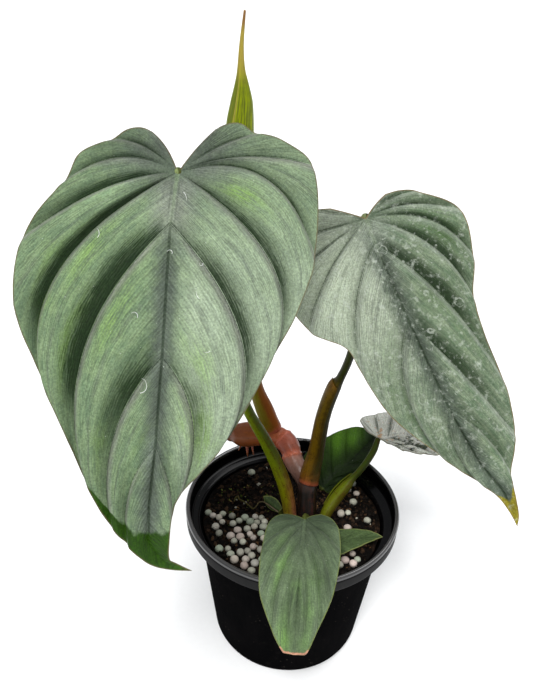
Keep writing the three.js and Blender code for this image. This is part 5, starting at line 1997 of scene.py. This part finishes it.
RIGHT_PATCHES = (
    Patch(12.5, 21.7, 14, 7, glow=0.6), Patch(37, 12, 18, 7, glow=0.6, dim=0.15),
    Patch(22, 26, 16, 6, glow=0.65, dim=0.2), Patch(60, 14, 18, 6, glow=0.35),
    Patch(-3.6, -13.6, 10, 7, dim=0.5), Patch(50.5, -14.1, 14, 4, glow=0.4),
    Patch(104, 6, 14, 6, glow=0.3), Patch(-1, 12, 8, 4, dim=0.2), Patch(113, 0, 11, 6, dim=-0.9),
    Patch(23.5, -29.4, 13, 7, dim=-0.65),
    Patch(66, -20.5, 12, 2.5, glow=0.6, dim=0.1), Patch(80, -18.3, 14, 2.6, glow=0.7, dim=0.1),
    Patch(97, -13.5, 12, 2.4, glow=0.6, dim=0.1), Patch(46, -4, 14, 4, dim=0.25),
    Patch(31.7, -11.5, 10, 6, dim=0.2),
)

FRONT_PATCHES = (
    Patch(30, -9, 12, 3.5, glow=0.8, dim=-0.2), Patch(39, -1, 10, 3, glow=0.4, dim=-0.1),
    Patch(36, 8, 11, 3, glow=0.5), Patch(34.6, -11.7, 9, 4, dim=-0.2),
    Patch(50, 6, 10, 3, glow=0.45), Patch(58, -6, 10, 4, glow=0.5, dim=-0.15),
    Patch(16, -10, 8, 3, glow=0.35), Patch(58, 0, 8, 5, dim=-0.05), Patch(13.3, -1, 8, 6, dim=0.4),
    Patch(4, 5, 9, 6, dim=0.3), Patch(14, 15, 14, 5, dim=0.45), Patch(33, 12.5, 12, 4, dim=0.55),
    Patch(2, -6, 8, 5, dim=0.25), Patch(63, -4, 5, 3, glow=0.6), Patch(63, 4.5, 5, 3, glow=0.5),
)

SIDE_PATCHES = (
    Patch(1, 1, 2.2, 1.6, scar=0.8), Patch(6, -2, 3, 1, scar=0.65), Patch(4, 5, 3, 1.2, scar=0.65),
    Patch(24, 6, 9, 2, dim=0.7), Patch(14, -3, 8, 1.4, dim=0.6), Patch(34, 5, 8, 2.2, dim=0.7),
    Patch(26, -10, 8, 3, dim=0.6), Patch(40, -4, 8, 3, dim=0.5), Patch(14, 12, 6, 3, dim=0.2),
)

# The rear blade's yellow-green patches are painted light, where light shines through its upper part.
REAR_PATCHES = (
    Patch(9, 15, 9, 5, glow=0.3), Patch(26, 15, 10, 6, glow=0.85), Patch(35, 9, 8, 6, glow=0.65),
)

# Finishes of the blades

# The large left blade's right half is made paler with painted light.
LARGE = BladeFinish(
    "bloomed_sheen_blade", green=rgb(106, 128, 98), bright=rgb(128, 149, 112), shoulder=rgb(142, 143, 136),
    valley=rgb(18, 38, 12), lobe=rgb(90, 98, 90), glow=rgb(122, 156, 78), bare=rgb(44, 78, 10),
    margin=rgb(112, 96, 66), below=rgb(128, 142, 108), pale=rgb(164, 178, 154), pale_side=1,
    pale_share=0.7, shoulder_share=0.7, valley_share=0.95, late=(0.0, 0.16),
    calm=(72, 104), pale_from=(5, 45), scar=rgb(190, 168, 104), lobe_share=0.75, upper_late=0.17, slow=0.2,
    rib_share=0.85, rib_from=(14, 34), hatch_share=0.5,
)

# The right blade's left half is made paler with painted light, as the half that faces the light.
SILVER = BladeFinish(
    "silvered_blade", green=rgb(98, 118, 92), bright=rgb(134, 148, 122), shoulder=rgb(162, 170, 156),
    valley=rgb(38, 54, 32), lobe=rgb(80, 90, 78), glow=rgb(62, 92, 42), bare=rgb(150, 140, 34),
    margin=rgb(140, 112, 72), below=rgb(132, 148, 120), pale=rgb(177, 187, 166),
    shoulder_share=0.6, valley_share=0.95, lobe_share=0.4, residue=1.0, pale_share=0.8,
    pale_until=(84.0, 26.0), late=(0.3, 0.02), reach=20, rib_share=0.9, rib_from=(2, 16),
    calm=(60, 100), hatch_share=0.6,
)

FRONT = BladeFinish(
    "front_blade", green=rgb(90, 106, 80), bright=rgb(112, 130, 98), shoulder=rgb(118, 128, 112),
    valley=rgb(38, 54, 30), lobe=rgb(56, 70, 50), glow=rgb(120, 158, 86), bare=rgb(84, 118, 50),
    margin=rgb(128, 138, 70), below=rgb(120, 138, 100), scar=rgb(212, 156, 128),
    shoulder_share=0.3, valley_share=0.36, hatch_share=0.34, crease_share=0.05, late=(0.1, 0.1),
    soft_glow=0.4, cut=64.5, rib_share=0.2, lobe_share=0.7,
)

# The side blade lies in the shadow of the right blade: its greys are lifted near white, painted light.
SCARRED = BladeFinish(
    "scarred_blade", green=rgb(212, 216, 200), bright=rgb(242, 242, 232), shoulder=rgb(230, 230, 218),
    valley=rgb(40, 56, 32), lobe=rgb(192, 194, 182), glow=rgb(120, 140, 100), bare=rgb(60, 88, 40),
    margin=rgb(120, 108, 84), below=rgb(140, 150, 128), scar=rgb(206, 166, 128),
    shoulder_share=0.3, valley_share=0.95, residue=0.8, reach=14, late=(0.2, 0.2), cracks=0.9,
)

# The rear blade lies in shadow under the other leaves: its near-black greens are painted shadow.
SHADOWED_DARK = BladeFinish(
    "shadowed_dark_blade", green=rgb(22, 36, 12), bright=rgb(34, 52, 16), shoulder=rgb(30, 46, 20),
    valley=rgb(12, 22, 8), lobe=rgb(20, 32, 12), glow=rgb(104, 158, 36), bare=rgb(40, 80, 16),
    margin=rgb(70, 84, 40), below=rgb(86, 110, 60), shoulder_share=0.2, valley_share=0.3,
    hatch_share=0.2, reach=10, rough=0.38, gloss=0.1, crease_share=0.15, soft_glow=0.85,
)

SMALL = BladeFinish(
    "small_blade", green=rgb(60, 78, 42), bright=rgb(84, 106, 60), shoulder=rgb(76, 90, 64),
    valley=rgb(38, 52, 26), lobe=rgb(70, 84, 56), glow=rgb(110, 140, 76), bare=rgb(70, 100, 40),
    margin=rgb(140, 146, 84), below=rgb(110, 126, 88), shoulder_share=0.4, valley_share=0.4,
    hatch_share=0.3, reach=8, rough=0.5,
)

# Finishes of the stalks and the stem; their darker side stops are painted shade

WRAP = StalkFinish(
    "olive_sheath",
    stops((0.0, 132, 80, 30), (0.1, 116, 82, 6), (0.45, 96, 76, 3), (0.56, 120, 84, 18)),
    stops((0.0, 84, 52, 18), (0.12, 44, 38, 6), (0.56, 34, 32, 6)),
    side=(0.95, -0.3, 0.1), side_share=0.9, speckles=0.8, speckle=rgb(44, 24, 6),
)

SHEATHED = StalkFinish(
    "sheathed_stalk",
    stops((0.0, 96, 88, 26), (0.3, 104, 112, 18), (0.5, 100, 112, 18),
     (0.66, 64, 80, 20), (1.0, 60, 78, 24)),
    stops((0.0, 64, 50, 18), (0.3, 70, 62, 14), (0.56, 66, 66, 14),
     (0.66, 34, 46, 10), (1.0, 34, 46, 12)),
    side=(0.7, -0.5, -0.5), speckles=0.8, speckle=rgb(70, 36, 10),
)

GREEN = StalkFinish(
    "green_stalk",
    stops((0.0, 120, 76, 44), (0.14, 132, 84, 44), (0.2, 124, 100, 34),
     (0.28, 126, 126, 6), (0.42, 106, 122, 4), (0.85, 94, 114, 10),
     (1.0, 140, 156, 100)),
    stops((0.0, 110, 60, 46), (0.2, 140, 80, 66), (0.28, 124, 72, 38),
     (0.36, 80, 64, 6), (0.48, 44, 56, 2), (1.0, 46, 62, 4)),
    side=(0.95, 0.1, 0), speckles=0.9, speckle=rgb(66, 30, 8),
)

OLIVE = StalkFinish(
    "olive_stalk",
    stops((0.0, 146, 76, 52), (0.012, 160, 84, 50), (0.035, 134, 82, 30),
     (0.09, 116, 84, 6), (0.4, 96, 78, 3), (0.56, 80, 66, 3),
     (0.62, 42, 48, 8), (0.9, 70, 84, 36), (1.0, 140, 154, 106)),
    stops((0.0, 120, 58, 42), (0.012, 124, 64, 36), (0.035, 70, 48, 12),
     (0.12, 30, 34, 4), (0.56, 20, 26, 4), (1.0, 26, 36, 8)),
    side=(0.95, -0.2, 0.1), side_share=0.9, speckles=0.8, speckle=rgb(40, 22, 6),
)

TAN = StalkFinish(
    "tan_stalk",
    stops((0.0, 172, 84, 64), (0.016, 158, 80, 52), (0.056, 138, 72, 12),
     (0.32, 120, 64, 6), (0.56, 102, 74, 6), (0.8, 120, 130, 12)),
    stops((0.0, 172, 84, 64), (0.032, 126, 90, 14), (0.1, 108, 100, 6),
     (0.8, 120, 130, 12)),
    side=(-0.9, -0.35, 0.1), side_share=0.9, speckles=0.5, speckle=rgb(96, 46, 20),
)

SHORT = StalkFinish(
    "short_stalk",
    stops((0.0, 110, 110, 56), (0.4, 104, 112, 34), (1.0, 84, 98, 46)),
    stops((0.0, 64, 76, 20), (1.0, 56, 70, 24)),
    speckles=0.4,
)

# A charcoal upright joint, then purple-brown and red-brown joints with salmon rings; the near-black side
# stops are painted shade.
BARK = StalkFinish(
    "stem_bark",
    stops((0.0, 14, 12, 10), (0.25, 28, 24, 20), (0.3, 78, 58, 50),
     (0.4, 150, 112, 98), (0.44, 178, 120, 102), (0.452, 222, 124, 92),
     (0.47, 198, 104, 76), (0.5, 168, 92, 70), (0.6, 182, 92, 68),
     (0.618, 218, 116, 88), (0.65, 190, 98, 60), (0.735, 180, 96, 48),
     (0.75, 200, 106, 68), (0.78, 164, 88, 40), (1.0, 120, 66, 32)),
    stops((0.0, 8, 6, 5), (0.27, 12, 9, 8), (0.34, 48, 32, 26),
     (0.44, 92, 54, 42), (0.6, 96, 44, 30), (1.0, 70, 38, 20)),
    side=(0.75, 0.1, -0.45), speckle=rgb(84, 40, 28), speckles=0.55, rough=0.34, gloss=0.28,
)


@dataclass
class Plant:
    """The living plant: its blades, their stalks, the creeping stem and the rolled new leaf.

    Attributes:
        wrap: finish of the right stalk's sheath.
        sheathed: finish of the side stalk and its sheath.
        bark: finish of the stem and its aerial roots.
    """

    wrap: StalkFinish = WRAP
    sheathed: StalkFinish = SHEATHED
    bark: StalkFinish = BARK

    def blades(self) -> list[tuple[Blade, BladeFinish]]:
        """Every blade with its finish."""
        return [
            (LeftBlade("left_blade", "leaf_left", "leaf_blade", (-46.6, -60, 288.6), (-46, -120, 165.1),
                       (0.12, -0.9, 0.44), 9, 1 / 360, 0, 7, 0.19, LEFT_ROWS, (26, 96), rib_depth=1.7,
                       ruffle=0.45, seed=21, patches=LEFT_PATCHES), LARGE),
            (RightBlade("right_blade", "leaf_right", "leaf_silver", (20.9, -38, 267.1), (92.2, -75, 152.5),
                        (-0.03, -0.96, 0.29), 8, 0, 0.55, 7, 0.175, RIGHT_ROWS, (26, 90), rib_depth=1.6,
                        ruffle=0.5, seed=34, patches=RIGHT_PATCHES), SILVER),
            (Blade("front_blade", "leaf_front", "leaf_blade", (6.8, -21, 97), (4.6, -83, 71.5),
                   (0, -0.4, 0.92), 11, 1 / 100, 0, 3, 0.16, FRONT_ROWS, (20, 56), rib_depth=0.9,
                   riser=0.3, shelf=0.4, second=0.0, crumple=0.8, seed=47, patches=FRONT_PATCHES), FRONT),
            (Blade("low_blade", "leaf_low", "leaf_blade", (13, -23, 84.5), (46.9, -22.7, 90),
                   (-0.1, -0.3, 0.95), 2.5, 1 / 90, 0.15, 1.5, 0.12, LOW_ROWS, (14, 32), rib_depth=0.6,
                   ruffle=0.15, riser=0.25, second=0.0, seed=52), SMALL),
            (Blade("side_blade", "leaf_side", "leaf_silver", (44.4, 20, 120.6), (93, 48, 104),
                   (0.05, -0.25, 1), 3, 1 / 200, 0, 3, 0.12, SIDE_ROWS, (16, 44), rib_depth=0.8,
                   ruffle=0.4, seed=65, patches=SIDE_PATCHES), SCARRED),
            (Blade("rear_blade", "leaf_rear", "leaf_dark", (17, 21, 82), (46, 46, 103), (0, -0.7, 0.7),
                       3, 0, 0.5, 3, 0.13, REAR_ROWS, (16, 40), rib_depth=0.8, ruffle=0.2, seed=78,
                       patches=REAR_PATCHES), SHADOWED_DARK),
            (Blade("bud_blade", "leaf_bud", "leaf_blade", (-6.6, 0.6, 81), (-16, 4.8, 86.6),
                   (-0.3, -0.75, 0.6), 1, 0, 0.7, 0.6, 0, BUD_ROWS, (10, 18), thick=0.5, rib_depth=0.3,
                   ruffle=0.05, seed=83), SMALL),
        ]

    def seat(self, blade: Blade, radius: float) -> Triple:
        """Where a stalk ends: just under the middle of the blade's midrib, sunk into it."""
        lift = -blade.fold * blade.ridge - 0.35 - radius * 0.8
        return tuple(np.array(blade.sinus, float) + blade.out * lift)

    def stalks(self, blades: dict[str, Blade]) -> list[tuple[Stalk, StalkFinish]]:
        """Every stalk with its finish; all but the rolled leaf's stalk end at the seat of a blade."""
        made = []
        for part, slot, line, tip, finish, fineness in (
            ("left", "green", LEFT_LINE, 2, GREEN, {"steps": 300, "seed": 5}),
            ("right", "olive", RIGHT_LINE, 1.8, OLIVE, {"steps": 240, "seed": 6}),
            ("new", "tan", NEW_LINE, 0, TAN, {"steps": 160, "seed": 7}),
            ("front", "green", FRONT_LINE, 1.3, SHORT, {"sides": 20, "steps": 60}),
            ("low", "green", LOW_LINE, 1, SHORT, {"sides": 18, "steps": 44}),
            ("side", "green", SIDE_LINE, 1.5, self.sheathed, {"sides": 24, "steps": 120}),
            ("rear", "green", REAR_LINE, 1.2, SHORT, {"sides": 18, "steps": 40}),
            ("bud", "green", BUD_LINE, 0.9, SHORT, {"sides": 16, "steps": 36}),
        ):
            if tip:
                line = line + (Station(self.seat(blades[f"{part}_blade"], tip), tip),)
            stalk = Stalk(f"{part}_stalk", (f"stalk_{part}",), f"stalk_{slot}", line, **fineness)
            made.append((stalk, finish))
        return made

    def stem(self) -> RingedStem:
        """The creeping stem."""
        return RingedStem("jointed_stem", ("creeping_stem",), "stem_bark", STEM_LINE, sides=40, steps=220,
                          reference=(0.0, 1.0, 0.0), ribs=13, rough=0.035, seed=9)

    def root_nubs(self) -> list[Stalk]:
        """Three short aerial roots on the underside of the stem."""
        return [
            Stalk(f"aerial_root_{i}", (), "stem_bark", stations(start, middle, end), sides=14, steps=36,
                  ribs=5, rough=0.1, seed=30 + i)
            for i, (start, middle, end) in enumerate((
                ((-28, 30, 106, 1.2), (-27.6, 28.4, 101.2, 0.85), (-27, 26.6, 96.4, 0.5)),
                ((-25, 29, 106, 0.9), (-24.5, 27.4, 102, 0.65), (-23.6, 25.6, 98.6, 0.4)),
                ((-31, 30, 105, 0.8), (-31.4, 29, 101.8, 0.6), (-32.3, 27.8, 99.2, 0.35)),
            ))
        ]

    def rolled(self) -> RolledLeaf:
        """The new leaf."""
        return RolledLeaf("rolled_blade", ("leaf_new",), "leaf_young", ROLLED_LINE)

    def lint(self, blade: Blade) -> Lint:
        """The pale threads on the large left blade."""
        return Lint("blade_lint", "leaf_blade", blade, (
            Thread((22.5, -25.2), 20, -110, 4.4), Thread((8.4, 3.2), 200, 40, 3.6),
            Thread((27.4, -1.1), 90, -190, 3.4), Thread((31.2, 9.6), 60, 260, 3.0),
            Thread((41.6, 8.9), 20, 60, 3.0), Thread((73.2, -7.4), 10, -170, 7.5),
            Thread((49.0, -11.4), 70, -170, 4.0), Thread((60.5, 13.2), 100, 60, 2.2),
        ))

    def wisp(self) -> Stalk:
        """A dry curled wisp on the soil."""
        return Stalk("dry_wisp", (), "soil", WISP_LINE, sides=10, steps=150, reference=(0.0, 0.0, 1.0),
                     ribs=3, rough=0.12, seed=61)

    def build(self) -> tuple[Station, ...]:
        """Makes every piece of the plant and returns the stems' feet."""
        blades = self.blades()
        looks: dict[str, bpy.types.Material] = {}

        def look(finish: BladeFinish | StalkFinish) -> bpy.types.Material:
            """The finish's material, made once."""
            if finish.name not in looks:
                looks[finish.name] = finish.material()
            return looks[finish.name]

        for blade, finish in blades:
            settle(blade.name, blade.mesh(), look(finish), (blade.node,))
        lint = self.lint(blades[0][0])
        even = stops((0.0, 196, 204, 186))
        pale = StalkFinish("lint", even, even, speckles=0.0)
        settle(lint.name, lint.mesh(), pale.material())
        wisp = self.wisp()
        dry = StalkFinish("dry_wisp", stops((0.0, 86, 84, 44), (0.5, 78, 74, 40), (1.0, 150, 130, 110)),
                          stops((0.0, 54, 50, 26), (1.0, 110, 90, 70)), speckles=0.4)
        settle(wisp.name, wisp.mesh(), dry.material())
        stalks = self.stalks({blade.name: blade for blade, _ in blades})
        for stalk, finish in stalks:
            settle(stalk.name, stalk.mesh(), look(finish), stalk.nodes)
        for sheath, source in self.sheaths({stalk.name: stalk for stalk, _ in stalks}):
            settle(sheath.name, sheath.mesh(), look(source))
        stem = self.stem()
        bark = self.bark.material()
        settle(stem.name, stem.mesh(), bark, stem.nodes)
        for root in self.root_nubs():
            settle(root.name, root.mesh(), bark)
        rolled = self.rolled()
        settle(rolled.name, rolled.mesh(), RolledFinish().material(), rolled.nodes)
        feet = [stem, *(stalk for stalk, _ in stalks if stalk.name not in ("right_stalk", "new_stalk"))]
        return tuple(stalk.stations[0] for stalk in feet)

    def sheaths(self, stalks: dict[str, Stalk]) -> list[tuple[Sheath, StalkFinish]]:
        """The wings that wrap the lower part of two stalks."""
        return [
            (Sheath("right_sheath", "stalk_olive", stalks["right_stalk"], 0.03, 0.565, 0.56, 0.235,
                    gap=0.05, flare=0.35, thick=0.22, shoulder=0.9), self.wrap),
            (Sheath("side_sheath", "stalk_green", stalks["side_stalk"], 0.28, 0.64, 0.3, 0.2,
                    flare=0.7, shoulder=0.75), self.sheathed),
        ]


@dataclass
class Potful:
    """The pot, its soil and what lies on the soil."""

    feet: tuple[Station, ...]

    def build(self) -> None:
        """Makes the pot, the soil, the prills and the litter."""
        pot = NurseryPot()
        settle("moulded_pot", pot.mesh(), PotFinish().material(), ("nursery_pot",))
        bed = SoilBed(self.feet)
        settle("soil_bed", bed.bed_mesh(), SoilFinish().material(), ("potting_soil",))
        prill = BitFinish(
            "feed_prill",
            stops((0.0, 190, 192, 180), (0.3, 218, 198, 188), (0.55, 174, 186, 164),
             (0.8, 210, 204, 190), (1.0, 164, 165, 150)),
            rgb(118, 114, 98), 0.6, 0.62, 0.24,
        )
        settle("feed_prills", Prills(bed).mesh(), prill.material(), ("potting_soil",))
        crumb = BitFinish("soil_crumb", stops((0.0, 9, 7, 5), (0.6, 24, 17, 12), (1.0, 80, 58, 40)),
                          rgb(70, 52, 38), 0.2, 0.8, 0.4)
        bark = BitFinish("bark_chip", stops((0.0, 60, 40, 26), (0.6, 110, 78, 46), (1.0, 176, 140, 90)),
                         rgb(50, 32, 20), 0.5, 0.75, 0.25)
        perlite = BitFinish("perlite", stops((0.0, 206, 202, 188), (1.0, 168, 164, 150)),
                            rgb(110, 104, 92), 0.35, 0.7, 0.3)
        moss = BitFinish("moss", stops((0.0, 58, 70, 20), (0.6, 100, 116, 40), (1.0, 140, 142, 76)),
                         rgb(44, 50, 18), 0.4, 0.8, 0.3)
        for strewn, finish in (
            (Strewn(Litter.CRUMB, bed, 2400, (0.35, 1.3), (1, 1, 0.8), 0.35, 41), crumb),
            (Strewn(Litter.BARK, bed, 120, (0.35, 0.9), (1.9, 0.7, 0.45), 0.3, 42), bark),
            (Strewn(Litter.PERLITE, bed, 46, (0.35, 1.25), (1, 1, 0.9), 0.3, 43), perlite),
            (Strewn(Litter.MOSS, bed, 90, (0.3, 0.8), (1.3, 1, 0.5), 0.4, 44,
                    area=((-22, 6), (20, 18))), moss),
        ):
            settle(strewn.kind.value, strewn.mesh(), finish.material())


@dataclass
class Studio:
    """A pale floor, soft light and the photograph's camera."""

    camera_at: Triple = (0.0, -313.8, 372.5)
    pitch: float = 30.58
    yaw: float = -3.14
    roll: float = 2.09
    lens: float = 40.0

    def build(self) -> None:
        """Makes the camera, the floor, the lights and the surroundings."""
        self._camera()
        self._floor()
        self._sun("key", (-0.12, -0.72, 1.05), 3.4, 22)
        self._sun("fill", (0.9, -0.5, 0.3), 0.2, 60)
        self._sun("back", (0.5, 0.35, 1.0), 0.9, 40)
        world = bpy.data.worlds.new("surroundings")
        world.use_nodes = True
        background = world.node_tree.nodes["Background"]
        background.inputs["Color"].default_value = (0.94, 0.97, 1.0, 1.0)
        background.inputs["Strength"].default_value = 0.45
        bpy.context.scene.world = world
        bpy.context.scene.view_settings.view_transform = "Standard"

    def _camera(self) -> None:
        """Aims the camera: yaw and pitch turn its axis, and roll turns it about that axis."""
        pitch, yaw, roll = (math.radians(a) for a in (self.pitch, self.yaw, self.roll))
        ahead = Vector((math.sin(yaw) * math.cos(pitch), math.cos(yaw) * math.cos(pitch), -math.sin(pitch)))
        level = Vector((math.cos(yaw), -math.sin(yaw), 0))
        upright = level.cross(ahead)
        right = level * math.cos(roll) + upright * math.sin(roll)
        up = upright * math.cos(roll) - level * math.sin(roll)
        data = bpy.data.cameras.new("camera")
        data.lens = self.lens
        data.sensor_width = 36.0
        data.clip_start = 0.01
        camera = bpy.data.objects.new("camera", data)
        turn = Matrix((right, up, -ahead)).transposed().to_4x4()
        camera.matrix_world = Matrix.Translation(Vector(self.camera_at) * MM) @ turn
        bpy.context.scene.collection.objects.link(camera)
        bpy.context.scene.camera = camera

    def _floor(self) -> None:
        """A wide pale floor that the pot stands on."""
        mesh = bpy.data.meshes.new("floor")
        mesh.from_pydata([(-9, -9, 0), (9, -9, 0), (9, 9, 0), (-9, 9, 0)], [], [(0, 1, 2, 3)])
        floor = bpy.data.objects.new("floor", mesh)
        bpy.context.scene.collection.objects.link(floor)
        g = Graph("pale_floor")
        grain = g.noise(3.0, 2.0)
        colour = g.mix(grain, (0.88, 0.88, 0.88, 1.0), (0.92, 0.92, 0.92, 1.0))
        mesh.materials.append(g.close(colour, 0.8, grain, 0.02, Specular_IOR_Level=0.2))

    def _sun(self, name: str, way: Triple, power: float, angle: float) -> None:
        """A soft even light from a direction, wide by an angle in degrees."""
        data = bpy.data.lights.new(name, "SUN")
        data.energy = power
        data.angle = math.radians(angle)
        lamp = bpy.data.objects.new(name, data)
        lamp.rotation_euler = Vector(way).to_track_quat("Z", "Y").to_euler()
        bpy.context.scene.collection.objects.link(lamp)


def main() -> None:
    """Builds the studio, the plant and the potful in order."""
    logging.basicConfig(level=logging.INFO, format="%(message)s")
    Studio().build()
    feet = Plant().build()
    Potful(feet).build()


if __name__ == "__main__":
    main()
